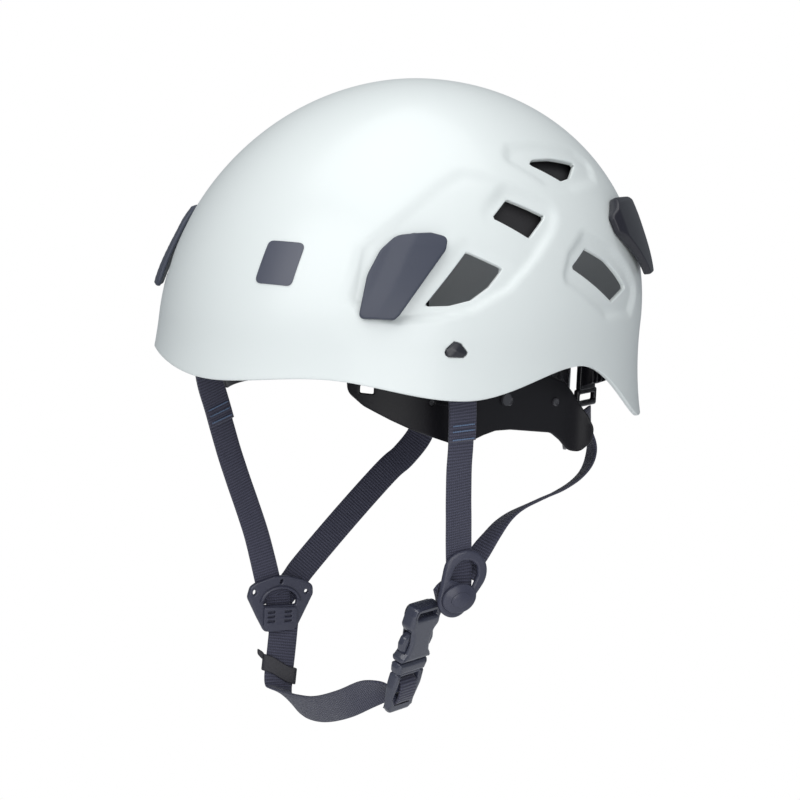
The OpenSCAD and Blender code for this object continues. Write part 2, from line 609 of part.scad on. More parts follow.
shell();
crown_liner();
crown_pad();
brow_band();
brow_pad();
side_panel_left();
side_panel_right();
panel_studs();
band_posts();
temple_pins();
side_plug_left();
side_plug_right();
headlamp_clip_front_left();
headlamp_clip_front_right();
headlamp_clip_rear_left();
headlamp_clip_rear_right();
front_badge();
strap_hanger_left();
strap_hanger_right();
strap_front_left();
strap_front_right();
strap_rear_left();
strap_rear_right();
yoke_left();
yoke_right();
yoke_cap_left();
yoke_cap_right();
strap_buckle_left();
buckle_socket();
cradle_housing();
cradle_cover();
cradle_pad();
dial();
arm_left();
arm_right();
chin_strap();
buckle_plug();
buckle_prongs();
strap_keeper();
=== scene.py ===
"""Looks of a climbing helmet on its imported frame. Lengths are in millimetres until mesh data is made."""
import math

import bmesh
import bpy
import numpy as np
from mathutils import Matrix, Vector


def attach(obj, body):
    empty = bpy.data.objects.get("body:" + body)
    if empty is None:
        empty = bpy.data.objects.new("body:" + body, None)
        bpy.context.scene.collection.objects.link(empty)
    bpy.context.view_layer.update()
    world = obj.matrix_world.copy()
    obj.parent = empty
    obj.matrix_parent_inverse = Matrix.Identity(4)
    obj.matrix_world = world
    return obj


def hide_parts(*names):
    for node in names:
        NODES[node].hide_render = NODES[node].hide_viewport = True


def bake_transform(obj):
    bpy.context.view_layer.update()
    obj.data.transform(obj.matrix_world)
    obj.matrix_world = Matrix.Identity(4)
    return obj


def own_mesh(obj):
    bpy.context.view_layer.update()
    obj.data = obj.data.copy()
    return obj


MM = 0.001
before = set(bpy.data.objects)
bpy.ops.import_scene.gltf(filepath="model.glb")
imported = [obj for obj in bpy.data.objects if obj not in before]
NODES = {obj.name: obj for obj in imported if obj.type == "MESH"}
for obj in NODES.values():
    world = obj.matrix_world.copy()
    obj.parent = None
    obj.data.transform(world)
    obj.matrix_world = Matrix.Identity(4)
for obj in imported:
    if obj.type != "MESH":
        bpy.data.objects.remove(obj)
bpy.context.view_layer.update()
scene = bpy.context.scene

# ---------- small helpers ----------


def vec(*v):
    return np.array(v, float)


def unit(v):
    v = np.asarray(v, float)
    return v / np.linalg.norm(v)


def ease(f):
    f = np.clip(f, 0.0, 1.0)
    return f * f * (3 - 2 * f)


def make_object(name, verts_mm, faces, material, body, uvs=None):
    mesh = bpy.data.meshes.new(name)
    points = [tuple(p) for p in np.asarray(verts_mm) * MM]
    mesh.from_pydata(points, [], [tuple(int(i) for i in f) for f in faces])
    if uvs is not None:
        layer = mesh.uv_layers.new(name="UVMap")
        loops = np.empty(len(mesh.loops), int)
        mesh.loops.foreach_get("vertex_index", loops)
        layer.data.foreach_set("uv", np.asarray(uvs, float)[loops].ravel())
    mesh.update()
    mesh.polygons.foreach_set("use_smooth", [True] * len(mesh.polygons))
    obj = bpy.data.objects.new(name, mesh)
    scene.collection.objects.link(obj)
    if material:
        mesh.materials.append(material)
    if body:
        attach(obj, body)
    return obj


def join_parts(parts):
    """(verts, faces) of several (verts, faces) pairs."""
    verts, faces, n = [], [], 0
    for v, f in parts:
        verts.append(np.asarray(v, float))
        faces.extend([[i + n for i in g] for g in f])
        n += len(v)
    return np.concatenate(verts), faces


def smooth_by_angle(obj, angle):
    mesh = obj.data
    mesh.polygons.foreach_set("use_smooth", [True] * len(mesh.polygons))
    mesh.set_sharp_from_angle(angle=math.radians(angle))


def fix_normals(obj):
    bm = bmesh.new()
    bm.from_mesh(obj.data)
    bmesh.ops.recalc_face_normals(bm, faces=bm.faces)
    bm.to_mesh(obj.data)
    bm.free()


def add_piece(name, part, material, body, node, angle=None, mend=False):
    """A piece for a CAD node. Edges sharper than angle stay crisp; mend turns its faces outwards."""
    piece = make_object(name, *part, material, body)
    if mend:
        fix_normals(piece)
    if angle:
        smooth_by_angle(piece, angle)
    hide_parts(node)
    return piece


def mirrored(part):
    verts, faces = part
    return verts * vec(-1, 1, 1), [f[::-1] for f in faces]


def both_sides(left, right=None):
    """A part for each side; the right one is the left one, or another left-hand part, mirrored."""
    return ("left", left), ("right", mirrored(right or left))


def raised(part, height):
    return part[0] + vec(0, 0, height), part[1]


def ring_faces(rows, cols, base=0):
    """Quads between neighbouring rings of points."""
    faces = []
    for j in range(rows - 1):
        for i in range(cols):
            here, there = base + j * cols, base + (j + 1) * cols
            k = (i + 1) % cols
            faces.append([here + i, here + k, there + k, there + i])
    return faces


def tube_faces(rows, cols):
    """Rings of points joined into a tube with a cap at either end."""
    last = (rows - 1) * cols
    return ring_faces(rows, cols) + [list(range(cols))[::-1], [last + k for k in range(cols)]]


# ---------- materials ----------


def set_inputs(tree, node, values):
    """Sets each input to a value, or links it to another node's output."""
    for key, value in values.items():
        if isinstance(value, bpy.types.NodeSocket):
            tree.links.new(value, node.inputs[key])
        else:
            node.inputs[key].default_value = value


def add_node(tree, kind, inputs=None, **settings):
    node = tree.nodes.new(kind)
    for key, value in settings.items():
        setattr(node, key, value)
    set_inputs(tree, node, inputs or {})
    return node


def principled(name):
    mat = bpy.data.materials.new(name)
    mat.use_nodes = True
    tree = mat.node_tree
    return mat, tree, tree.nodes["Principled BSDF"]


def add_noise(tree, scale, detail=3.0, rough=0.55):
    place = add_node(tree, "ShaderNodeTexCoord").outputs["Object"]
    inputs = {"Scale": scale, "Detail": detail, "Roughness": rough, "Vector": place}
    return add_node(tree, "ShaderNodeTexNoise", inputs).outputs["Fac"]


def plastic(name, color, rough, spread=0.05, grain=900.0, bump=0.02, coat=0.0, vary=0.06, specular=0.5):
    """Moulded plastic: gloss and colour change slowly over it, and a fine grain bumps it."""
    mat, tree, shader = principled(name)
    noise = add_noise(tree, grain)
    broad = add_noise(tree, 18.0, 2.0)
    gloss = {"To Min": max(0.02, rough - spread), "To Max": rough + spread, "Value": broad}
    tint = {"A": (*[c * (1 - vary) for c in color], 1), "B": (*[min(1, c * (1 + vary)) for c in color], 1),
            "Factor": broad}
    set_inputs(tree, shader, {
        "Roughness": add_node(tree, "ShaderNodeMapRange", gloss).outputs["Result"],
        "Base Color": add_node(tree, "ShaderNodeMix", tint, data_type="RGBA").outputs["Result"],
        "Specular IOR Level": specular, "Coat Weight": coat, "Coat Roughness": 0.08})
    if bump:
        inputs = {"Strength": bump, "Distance": 0.0005, "Height": noise}
        set_inputs(tree, shader, {"Normal": add_node(tree, "ShaderNodeBump", inputs).outputs["Normal"]})
    return mat


def webbing_material(name, valley_shade, light, ribs_per_mm=0.62, warp_pitch=1.05):
    """Ribbed weave from the strip's UVs, which run in millimetres: U across, V along. Its colour follows the
    weave's height: painted shade in the valleys and a painted highlight on the crests.
    """
    mat, tree, shader = principled(name)

    def calc(kind, *values):
        return add_node(tree, "ShaderNodeMath", dict(enumerate(values)), operation=kind).outputs[0]

    uv = add_node(tree, "ShaderNodeUVMap", uv_map="UVMap").outputs["UV"]
    split = add_node(tree, "ShaderNodeSeparateXYZ", {"Vector": uv})
    warp = calc("ABSOLUTE", calc("SINE", calc("MULTIPLY", split.outputs["X"], math.pi / warp_pitch)))
    rib_turns = calc("MULTIPLY", split.outputs["Y"], 2 * math.pi * ribs_per_mm)
    rib_phase = calc("ADD", rib_turns, calc("MULTIPLY", warp, 0.9))
    rib = calc("ADD", calc("MULTIPLY", calc("SINE", rib_phase), 0.5), 0.5)
    cord = calc("ADD", calc("MULTIPLY", rib, 0.75), calc("MULTIPLY", warp, 0.35))
    height = calc("ADD", cord, calc("MULTIPLY", add_noise(tree, 2200.0, 4.0, 0.7), 0.14))
    bump = add_node(tree, "ShaderNodeBump", {"Strength": 0.55, "Distance": 0.0006, "Height": height})
    # Painted light: low cords take the painted valley shade, and high crests take the light colour as a
    # painted highlight.
    tint = {"A": (*valley_shade, 1), "B": (*light, 1), "Factor": calc("MULTIPLY", height, 0.62)}
    set_inputs(tree, shader, {
        "Normal": bump.outputs["Normal"],
        "Base Color": add_node(tree, "ShaderNodeMix", tint, data_type="RGBA").outputs["Result"],
        "Roughness": 0.62, "Sheen Weight": 0.25, "Sheen Roughness": 0.4, "Specular IOR Level": 0.35})
    return mat


SHELL_WHITE = plastic("shell_white", (0.80, 0.845, 0.835), 0.33, 0.03, 700.0, 0.012, coat=0.12, vary=0.01)
# The shell's inner face is the same white plastic; this darker grey copy is painted shade for the inside seen
# through the vents.
SHADED_SHELL_INSIDE = plastic("shell_inside_painted_shade", (0.42, 0.44, 0.45), 0.45, 0.05, 700.0, 0.03, vary=0.03)
LINER_BLACK = plastic("liner_black", (0.022, 0.021, 0.023), 0.62, 0.08, 420.0, 0.35, vary=0.2, specular=0.35)
BAND_BLACK = plastic("band_black", (0.010, 0.0095, 0.012), 0.34, 0.06, 1200.0, 0.10, vary=0.1, specular=0.24)
PAD_BLACK = plastic("pad_black", (0.022, 0.022, 0.027), 0.8, 0.08, 1500.0, 0.5, vary=0.25, specular=0.3)
CLIP_SLATE = plastic("clip_slate", (0.056, 0.063, 0.090), 0.42, 0.05, 1100.0, 0.06, vary=0.05, specular=0.4)
CLIP_DARK = plastic("clip_dark", (0.016, 0.016, 0.024), 0.36, 0.05, 1100.0, 0.06, vary=0.05)
BUCKLE_DARK = plastic("buckle_dark", (0.044, 0.048, 0.074), 0.24, 0.05, 1200.0, 0.03, coat=0.6, vary=0.06)
STUD_GREY = plastic("stud_grey", (0.06, 0.06, 0.068), 0.26, 0.05, 900.0, 0.05)
BADGE_GREY = plastic("badge_grey", (0.078, 0.085, 0.115), 0.3, 0.04, 900.0, 0.03)
DIAL_BLACK = plastic("dial_black", (0.02, 0.02, 0.023), 0.42, 0.05, 1400.0, 0.12)
GLOSS_BLACK = plastic("gloss_black", (0.014, 0.013, 0.017), 0.22, 0.04, 1200.0, 0.04, coat=0.3, vary=0.1)
YOKE_SLATE = plastic("yoke_slate", (0.048, 0.050, 0.078), 0.30, 0.05, 1200.0, 0.05, vary=0.06)
PLUG_DARK = plastic("plug_dark", (0.026, 0.027, 0.034), 0.2, 0.04, 1000.0, 0.03)
RUBBER = plastic("keeper_elastic", (0.022, 0.021, 0.028), 0.5, 0.06, 1500.0, 0.3, vary=0.15)
# The webbing's darker colour is painted shade for the weave's valleys, and its lighter one is a painted
# highlight on the crests.
WEB = webbing_material("webbing", (0.022, 0.022, 0.036), (0.098, 0.10, 0.155))
STITCH = plastic("stitch_blue", (0.13, 0.19, 0.31), 0.6, 0.05, 1500.0, 0.3)

# ---------- shell surface ----------

HALF_W, FRONT, REAR, HIGH = 113.0, 132.0, 150.0, 125.0
LEAN, FLARE, WALL = 0.11, 0.012, 2.0
# fold angle in degrees and height of the rim there
RIM_STOPS = [(-90, -21), (-58, -15.5), (-25, -24.5), (5, -12), (42, -48), (50, -50), (72, -39), (90, -35)]


def fold_angle(t):
    return np.degrees(np.arcsin(np.clip(np.sin(np.radians(t)), -1, 1)))


def rim_z(t):
    a = fold_angle(t)
    out = np.full(np.shape(a), float(RIM_STOPS[0][1]))
    for (a0, z0), (a1, z1) in zip(RIM_STOPS, RIM_STOPS[1:]):
        inside = (a > a0) & (a <= a1 + 1e-6)
        out = np.where(inside, z0 + (z1 - z0) * ease((a - a0) / (a1 - a0)), out)
    return out


def dome(t, z, inset=0.0):
    """Point of the smooth shell at plan angle t (degrees) and height z, moved in by inset."""
    t, z = np.broadcast_arrays(np.asarray(t, float), np.asarray(z, float))
    top = HIGH - inset
    low = 1 + FLARE * (z / 25) ** 2
    scale = np.where(z > 0, np.sqrt(np.clip(1 - (np.maximum(z, 0) / top) ** 2, 0, 1)), low)
    length = np.where(np.sin(np.radians(t)) > 0, REAR, FRONT) - inset
    x = (HALF_W - inset) * np.cos(np.radians(t)) * scale
    y = length * np.sin(np.radians(t)) * scale + LEAN * z
    return np.stack([x, y, z], -1)


def dome_normal(t, z):
    t, z = np.asarray(t, float), np.asarray(z, float)
    z_high = np.minimum(z + 0.4, HIGH - 0.02)
    a = dome(t + 0.3, z) - dome(t - 0.3, z)
    b = dome(t, z_high) - dome(t, z_high - 0.8)
    n = np.cross(a, b)
    return n / np.maximum(np.linalg.norm(n, axis=-1, keepdims=True), 1e-9)


class Patch:
    """Tangent-plane coordinates round one place on the left half of the shell."""

    def __init__(self, t, z):
        self.centre = dome(t, z)
        self.normal = dome_normal(t, z)
        self.right = unit(np.cross([0, 0, 1], self.normal))
        self.up = np.cross(self.normal, self.right)

    def flat(self, points):
        d = points - self.centre
        return np.stack([d @ self.right, d @ self.up], -1)

    def outline(self, corners):
        return np.array([self.flat(dome(t, z)) for t, z in corners])


def polygon_distance(p, poly, radius=0.0):
    """Signed distance, negative inside, of points p to a polygon whose corners are rounded by radius."""
    poly = np.asarray(poly, float)
    nxt = np.roll(poly, -1, 0)
    area = np.sum(poly[:, 0] * nxt[:, 1] - nxt[:, 0] * poly[:, 1])
    if area < 0:
        poly = poly[::-1]
        nxt = np.roll(poly, -1, 0)
    edge = nxt - poly
    normal = np.stack([edge[:, 1], -edge[:, 0]], -1) / np.linalg.norm(edge, axis=1, keepdims=True)
    shrunk = poly_inset(poly, normal, radius)
    nxt = np.roll(shrunk, -1, 0)
    best = np.full(p.shape[:-1], 1e9)
    inside = np.ones(p.shape[:-1], bool)
    for a, b, n in zip(shrunk, nxt, normal):
        d = p - a
        e = b - a
        f = np.clip((d @ e) / (e @ e), 0, 1)
        best = np.minimum(best, np.linalg.norm(d - f[..., None] * e, axis=-1))
        inside &= (d @ n) < 0
    return np.where(inside, -best, best) - radius


def poly_inset(poly, normal, r):
    out = []
    for i in range(len(poly)):
        n0, n1 = normal[i - 1], normal[i]
        rows = np.array([n0, n1])
        rhs = np.array([n0 @ poly[i] - r, n1 @ poly[i] - r])
        out.append(np.linalg.solve(rows, rhs))
    return np.array(out)


# outlines on the shell: corners as plan angle and height; a vent's number is its rounding in millimetres
VENTS = {
    "crown": (Patch(8, 85), 1.3, [(-3.6, 86.4), (0, 88.9), (8.6, 89.3), (21.6, 86.3), (12.6, 79),
                                  (7.4, 77.6)]),
    "upper": (Patch(-13, 61), 1.4, [(-20.9, 61.2), (-14.9, 71), (-2.8, 61.8), (-9.9, 50.9)]),
    "front": (Patch(-27, 32), 1.2, [(-37.6, 19.3), (-27.7, 46.4), (-17.7, 37.8), (-21.6, 28.6), (-26, 22.3),
                                    (-31.2, 19.7)]),
    "rear": (Patch(12, 32), 1.4, [(2.5, 36.4), (8.9, 46), (17.2, 38.6), (22.6, 30.4), (27.2, 22.6),
                                  (18, 16.4)]),
    "plug": (Patch(-29, -1), 1.0, [(-31.9, -0.8), (-29.8, 4), (-28, 3), (-25.7, -2.4), (-27, -4.9),
                                   (-31.2, -4.4)]),
}
for key, (patch, radius, corners) in list(VENTS.items()):
    VENTS[key] = (patch, patch.outline(corners), radius)

PANEL = Patch(-22, 48)
PANEL_OUTLINE = PANEL.outline([(-43, 12.5), (-34, 14.6), (-26, 18.2), (-17, 28), (-10, 41), (-3.5, 53),
                               (0.5, 63.5),
                               (-4.5, 70.5), (-14, 76), (-21, 80), (-29, 82), (-36, 75), (-44, 62), (-53, 46),
                               (-54, 20)])
REAR_SCOOP = [(-1, 31), (2, 43), (8, 52), (19, 43), (27, 31), (32, 20), (27, 9), (14, 11)]
CROWN_SCOOP = [(-13, 88), (-9, 94), (4, 94.5), (24, 90.5), (30, 84), (24, 77), (9, 73.5), (0, 76)]
# patch, outline, depth and width of the lip
SCOOPS = [(patch, patch.outline(corners), depth, lip) for patch, corners, depth, lip in
          ((Patch(13, 30), REAR_SCOOP, 2.3, 4.4), (Patch(8, 86), CROWN_SCOOP, 1.5, 7.0))]
# vent, least depth, extra depth above it, where that starts, the height it grows over, and its reach
VENT_SLOPES = [("upper", 0.5, 1.4, -2, 16, 7.0), ("front", 0.0, 0.9, 2, 14, 6.0)]


def recess_depth(q):
    """How far the left half sinks for the stepped panel and the scoops round the vents."""
    d = polygon_distance(PANEL.flat(q), PANEL_OUTLINE, 5.0)
    low = ease((75 - q[..., 2]) / 45)
    width = 2.6 + 5.0 * (1 - low)
    total = (0.9 + 1.3 * low) * ease(-d / width + 0.5)
    for patch, outline, depth, lip in SCOOPS:
        near = np.linalg.norm(q - patch.centre, axis=-1) < 70
        d = polygon_distance(patch.flat(q), outline, 4.0)
        total += np.where(near, depth * ease(-d / lip + 0.5), 0)
    for key, least, extra, start, growth, reach in VENT_SLOPES:
        patch, outline, radius = VENTS[key]
        near = np.linalg.norm(q - patch.centre, axis=-1) < 60
        f = patch.flat(q)
        d = polygon_distance(f, outline, radius)
        above = ease((f[..., 1] - start) / growth)
        total += np.where(near, (least + extra * above) * ease(1 - (d - 1.5) / reach), 0)
    return total


def on_left(p):
    """The points with the right half mirrored onto the left."""
    return np.stack([np.abs(p[..., 0]), p[..., 1], p[..., 2]], -1)


def shell_point(t, z, inset=0.0):
    p = dome(t, z)
    depth = recess_depth(on_left(p)) + inset
    return p - dome_normal(t, z) * depth[..., None]


def opening_value(t, z):
    """Negative inside any opening of the shell, in millimetres."""
    q = on_left(dome(t, z))
    best = np.full(q.shape[:-1], 1e3)
    for patch, outline, radius in VENTS.values():
        d = polygon_distance(patch.flat(q), outline, radius)
        far = np.linalg.norm(q - patch.centre, axis=-1) > 60
        best = np.minimum(best, np.where(far, 50.0, d))
    return best


def column_angles(fine, coarse):
    """Plan angles round the shell, closer together beside the vents."""
    right = []
    t = -90.0
    while t < 90 - 1e-6:
        right.append(t)
        t += fine if -56 < t < 36 else coarse
    left = [180 - a for a in right[1:]]
    return np.array(right + [90.0] + left[::-1])


def row_fractions(low_rows, high_rows):
    low = np.linspace(0, 1, low_rows, endpoint=False)
    high = np.sin(np.radians(90 * (np.linspace(0, 1, high_rows) ** 0.97)))
    return low, high[:-1]


def clipped_dome(angles, low, high, surface, cut_value):
    """Grid over the dome, its openings clipped out along their exact outlines: verts, faces and params."""
    rows = []
    for f in low:
        rows.append(rim_z(angles) * (1 - f))
    for f in high:
        rows.append(np.full(len(angles), f * HIGH))
    z = np.array(rows)
    t = np.broadcast_to(angles, z.shape).copy()
    value = cut_value(t, z)
    n_rows, n_cols = z.shape
    params = [(t[j, i], z[j, i]) for j in range(n_rows) for i in range(n_cols)]
    values = value.ravel()
    faces = []
    cuts = {}

    def crossing(a, b):
        key = (min(a, b), max(a, b))
        if key not in cuts:
            ta, za = params[key[0]]
            tb, zb = params[key[1]]
            if tb - ta > 180:
                tb -= 360
            if ta - tb > 180:
                tb += 360
            f = values[key[0]] / (values[key[0]] - values[key[1]])
            for _ in range(2):
                tm, zm = ta + (tb - ta) * f, za + (zb - za) * f
                v = float(cut_value(np.array(tm), np.array(zm)))
                slope = values[key[1]] - values[key[0]]
                f = min(max(f - v / slope, 0.02), 0.98)
            cuts[key] = len(params)
            params.append((ta + (tb - ta) * f, za + (zb - za) * f))
        return cuts[key]

    for j in range(n_rows - 1):
        for i in range(n_cols):
            k = (i + 1) % n_cols
            loop = [j * n_cols + i, j * n_cols + k, (j + 1) * n_cols + k, (j + 1) * n_cols + i]
            v = [values[q] for q in loop]
            if min(v) >= 0:
                faces.append(loop)
                continue
            if max(v) < 0:
                continue
            cut = []
            for a in range(4):
                p, q = loop[a], loop[(a + 1) % 4]
                if values[p] >= 0:
                    cut.append(p)
                if (values[p] >= 0) != (values[q] >= 0):
                    cut.append(crossing(p, q))
            if len(cut) >= 3:
                faces.append(cut)
    base = (n_rows - 1) * n_cols
    apex = len(params)
    params.append((0.0, HIGH))
    for i in range(n_cols):
        faces.append([base + i, base + (i + 1) % n_cols, apex])
    params = np.array(params)
    used = sorted({q for f in faces for q in f})
    index = {q: n for n, q in enumerate(used)}
    faces = [[index[q] for q in f] for f in faces]
    params = params[used]
    return surface(params[:, 0], params[:, 1]), faces, params


def boundary_wall(verts, faces, params, steps):
    """Gives every open border a rounded edge and wall, by steps of (outward, inward) millimetres."""
    count = {}
    for f in faces:
        for a, b in zip(f, f[1:] + f[:1]):
            count[(a, b)] = count.get((a, b), 0) + 1
    border = [(a, b) for (a, b) in count if (b, a) not in count]
    normals = dome_normal(params[:, 0], np.minimum(params[:, 1], HIGH - 1))
    outward = {}
    for a, b in border:
        e = verts[b] - verts[a]
        m = np.cross(e, normals[a])
        m = m / max(np.linalg.norm(m), 1e-9)
        for q in (a, b):
            outward[q] = outward.get(q, 0) + m
    ids = sorted(outward)
    verts = list(verts)
    previous = {q: q for q in ids}
    for out_mm, in_mm in steps:
        current = {}
        for q in ids:
            current[q] = len(verts)
            verts.append(verts[q] + unit(outward[q]) * out_mm - normals[q] * in_mm)
        for a, b in border:
            faces.append([previous[b], previous[a], current[a], current[b]])
        previous = current
    return np.array(verts), faces


def build_shell():
    rows = row_fractions(14, 104)
    verts, faces, params = clipped_dome(column_angles(0.9, 2.4), *rows, shell_point, opening_value)
    steps = [(0.18, 0.05), (0.42, 0.25), (0.5, 0.6), (0.5, WALL), (0.4, WALL + 0.3)]
    skin = boundary_wall(verts, faces, params, steps)
    add_piece("shell_skin", skin, SHELL_WHITE, "helmet", "shell")

    def lining_point(t, z):
        return shell_point(t, z, WALL + 0.3)

    def lining_opening(t, z):
        return opening_value(t, z) - 0.2

    rows = row_fractions(6, 48)
    verts, faces, params = clipped_dome(column_angles(2.0, 4.0), *rows, lining_point, lining_opening)
    # The lining's grey is painted shade on the inner face of the white shell.
    make_object("shell_lining", verts, [f[::-1] for f in faces], SHADED_SHELL_INSIDE, "helmet")


build_shell()

# ---------- shaped plates ----------


def rounded(corners, radii, steps=6, straight=3.0):
    """A closed outline through corners, each rounded by its radius, with straight runs split up."""
    pts = [vec(*c) for c in corners]
    radii = list(radii) if isinstance(radii, (list, tuple)) else [radii] * len(pts)
    arcs = []
    for i, p in enumerate(pts):
        a, b = pts[i - 1] - p, pts[(i + 1) % len(pts)] - p
        la, lb = np.linalg.norm(a), np.linalg.norm(b)
        half = math.acos(np.clip(a @ b / (la * lb), -1, 1)) / 2
        cut = min(radii[i] / math.tan(half), la * 0.48, lb * 0.48)
        start, end = p + a / la * cut, p + b / lb * cut
        f = np.linspace(0, 1, steps + 1)[:, None]
        arcs.append((1 - f) ** 2 * start + 2 * f * (1 - f) * p + f ** 2 * end)
    out = []
    for i, arc in enumerate(arcs):
        out.extend(arc)
        gap = arcs[(i + 1) % len(arcs)][0] - arc[-1]
        n = int(np.linalg.norm(gap) // straight)
        out.extend(arc[-1] + gap * k / (n + 1) for k in range(1, n + 1))
    return np.array(out)


def box_outline(x0, y0, x1, y1, radius, steps=4, straight=3.0):
    return rounded([(x0, y0), (x1, y0), (x1, y1), (x0, y1)], radius, steps, straight)


def arc_points(rx, ry, cy, angles):
    """Points of an ellipse about (0, cy)."""
    return [(rx * math.cos(math.radians(a)), cy + ry * math.sin(math.radians(a))) for a in angles]


def ellipse(cx, cy, rx, ry, n=28, turn=0.0):
    a = np.linspace(0, 2 * math.pi, n, endpoint=False)
    c, s = math.cos(math.radians(turn)), math.sin(math.radians(turn))
    x, y = rx * np.cos(a), ry * np.sin(a)
    return np.stack([cx + x * c - y * s, cy + x * s + y * c], -1)


def signed_area(p):
    q = np.roll(p, -1, 0)
    return 0.5 * np.sum(p[:, 0] * q[:, 1] - q[:, 0] * p[:, 1])


def slab(outline, holes=(), thick=3.0, edge=0.7, segments=3, slices=None):
    """A flat plate in X and Y, centred on Z = 0, with rounded edges.

    Slices (dx, dy) cut it up so that it can bend.
    """
    curve = bpy.data.curves.new("slab", "CURVE")
    curve.dimensions = "2D"
    curve.fill_mode = "BOTH"
    edge = min(edge, thick / 2 - 0.01)
    curve.extrude = thick / 2 - edge
    curve.bevel_depth = edge
    curve.bevel_resolution = segments
    curve.offset = -edge
    for k, points in enumerate([outline, *holes]):
        points = np.asarray(points, float)
        if (signed_area(points) > 0) != (k == 0):
            points = points[::-1]
        spline = curve.splines.new("POLY")
        spline.points.add(len(points) - 1)
        rows = np.concatenate([points, np.zeros((len(points), 1)), np.ones((len(points), 1))], 1)
        spline.points.foreach_set("co", rows.ravel())
        spline.use_cyclic_u = True
    obj = bpy.data.objects.new("slab", curve)
    scene.collection.objects.link(obj)
    bpy.context.view_layer.update()
    mesh = bpy.data.meshes.new_from_object(obj.evaluated_get(bpy.context.evaluated_depsgraph_get()))
    bm = bmesh.new()
    bm.from_mesh(mesh)
    bpy.data.objects.remove(obj)
    bpy.data.curves.remove(curve)
    bpy.data.meshes.remove(mesh)
    bmesh.ops.remove_doubles(bm, verts=bm.verts, dist=0.002)
    if slices:
        low, high = np.min(outline, 0), np.max(outline, 0)
        for axis in (0, 1):
            step = slices[axis]
            if not step:
                continue
            normal = [0, 0, 0]
            normal[axis] = 1
            for at in np.arange(low[axis] + step / 2, high[axis], step):
                point = [0, 0, 0]
                point[axis] = at + 0.0137
                geom = bm.verts[:] + bm.edges[:] + bm.faces[:]
                bmesh.ops.bisect_plane(bm, geom=geom, dist=1e-5, plane_co=point, plane_no=normal)
    bmesh.ops.recalc_face_normals(bm, faces=bm.faces)
    bm.verts.index_update()
    verts = np.array([v.co[:] for v in bm.verts])
    faces = [[v.index for v in f.verts] for f in bm.faces]
    bm.free()
    return verts, faces


def placed(part, origin, ax, ay, az=None):
    """A part's points put into a frame of world directions."""
    verts, faces = part
    ax, ay = np.asarray(ax, float), np.asarray(ay, float)
    az = np.cross(ax, ay) if az is None else np.asarray(az, float)
    return np.asarray(origin, float) + verts[:, :1] * ax + verts[:, 1:2] * ay + verts[:, 2:3] * az, faces


def lathe(profile, steps=48):
    """A turned part about Z from (radius, height) pairs, closed at both ends."""
    turns = 2 * math.pi * np.arange(steps) / steps
    verts = [(r * math.cos(a), r * math.sin(a), z) for r, z in profile for a in turns]
    return np.array(verts, float), tube_faces(len(profile), steps)


# ---------- pieces that lie on the shell ----------


def onto_shell(patch, part, lift, crown=None):
    """Bends a flat part over the smooth dome.

    Its X and Y lie in the patch's plane, and its Z stands off the surface.
    """
    verts, faces = part
    p = patch.centre + verts[:, :1] * patch.right + verts[:, 1:2] * patch.up
    for _ in range(4):
        z = np.clip(p[:, 2], -60, HIGH - 0.5)
        yy = p[:, 1] - LEAN * z
        t = np.degrees(np.arctan2(yy / np.where(yy > 0, REAR, FRONT), p[:, 0] / HALF_W))
        q = dome(t, z)
        n = dome_normal(t, z)
        gap = np.sum((q - p) * n, 1, keepdims=True)
        p = p + patch.normal * gap / np.maximum(n @ patch.normal, 0.3)[:, None]
    height = verts[:, 2:3] + lift(verts[:, 0], verts[:, 1])[:, None]
    if crown is not None:
        top = np.clip(verts[:, 2:3] / max(1e-6, verts[:, 2].max()), 0, 1)
        height = height + top * crown(verts[:, 0], verts[:, 1])[:, None]
    return p + n * height, faces


def span(values, low, high):
    return ease((values - low) / (high - low))


FRONT_CLIP = [(-51.6, 12.8), (-43.8, 12.8), (-42.8, 15), (-33.6, 45), (-33.2, 51), (-37.5, 52.8),
              (-45.6, 51.4),
              (-48.9, 44.5), (-51.0, 33)]
FRONT_CLIP_RADII = [3.0, 2.5, 3.0, 6.0, 4.5, 5.0, 9.0, 14.0, 14.0]


def front_clip():
    patch = Patch(-42, 34)
    outline = rounded(patch.outline(FRONT_CLIP), FRONT_CLIP_RADII, 6)
    part = slab(outline, thick=2.4, edge=0.9, segments=3, slices=(1.5, 1.5))
    low = outline[:, 1].min()
    high = outline[:, 1].max()
    keel = patch.outline([(-47.2, 14), (-43.8, 33), (-40.5, 56)])

    def crown(u, v):
        ridge = np.interp(v, keel[:, 1], keel[:, 0])
        side_slope = np.clip((ridge - u) / 9.0, 0, 1)
        far_slope = np.clip((u - ridge) / 16.0, 0, 1)
        top_slope = span(v, high - 9, high)
        return 1.7 - 2.0 * side_slope - 0.7 * far_slope - 0.7 * top_slope

    return onto_shell(patch, part, lambda u, v: 1.5 + 1.6 * span(-v, -(low + 30), -low), crown)


REAR_CLIP = [(42.4, 27), (35.5, 27), (22.0, 50), (21.2, 58), (27, 66.5), (41, 65.5), (44.5, 56)]
REAR_CLIP_RADII = [3.0, 3.0, 6.0, 4.0, 5.0, 6.0, 8.0]


def rear_clip():
    patch = Patch(33, 46)
    outline = rounded(patch.outline(REAR_CLIP), REAR_CLIP_RADII, 6)
    part = slab(outline, thick=3.4, edge=1.0, segments=3, slices=(1.6, 1.6))
    low, high = outline[:, 1].min(), outline[:, 1].max()
    left, right = outline[:, 0].min(), outline[:, 0].max()

    def crown(u, v):
        face = 2.6 - 2.2 * (1 - span(u, left + 1, left + 5)) - 1.2 * span(u, right - 7, right)
        return face * (0.35 + 0.65 * span(v, low, low + 26)) - 1.4 * span(v, high - 4, high)

    return onto_shell(patch, part, lambda u, v: 1.9 + 2.7 * span(-v, -(low + 26), -low), crown)


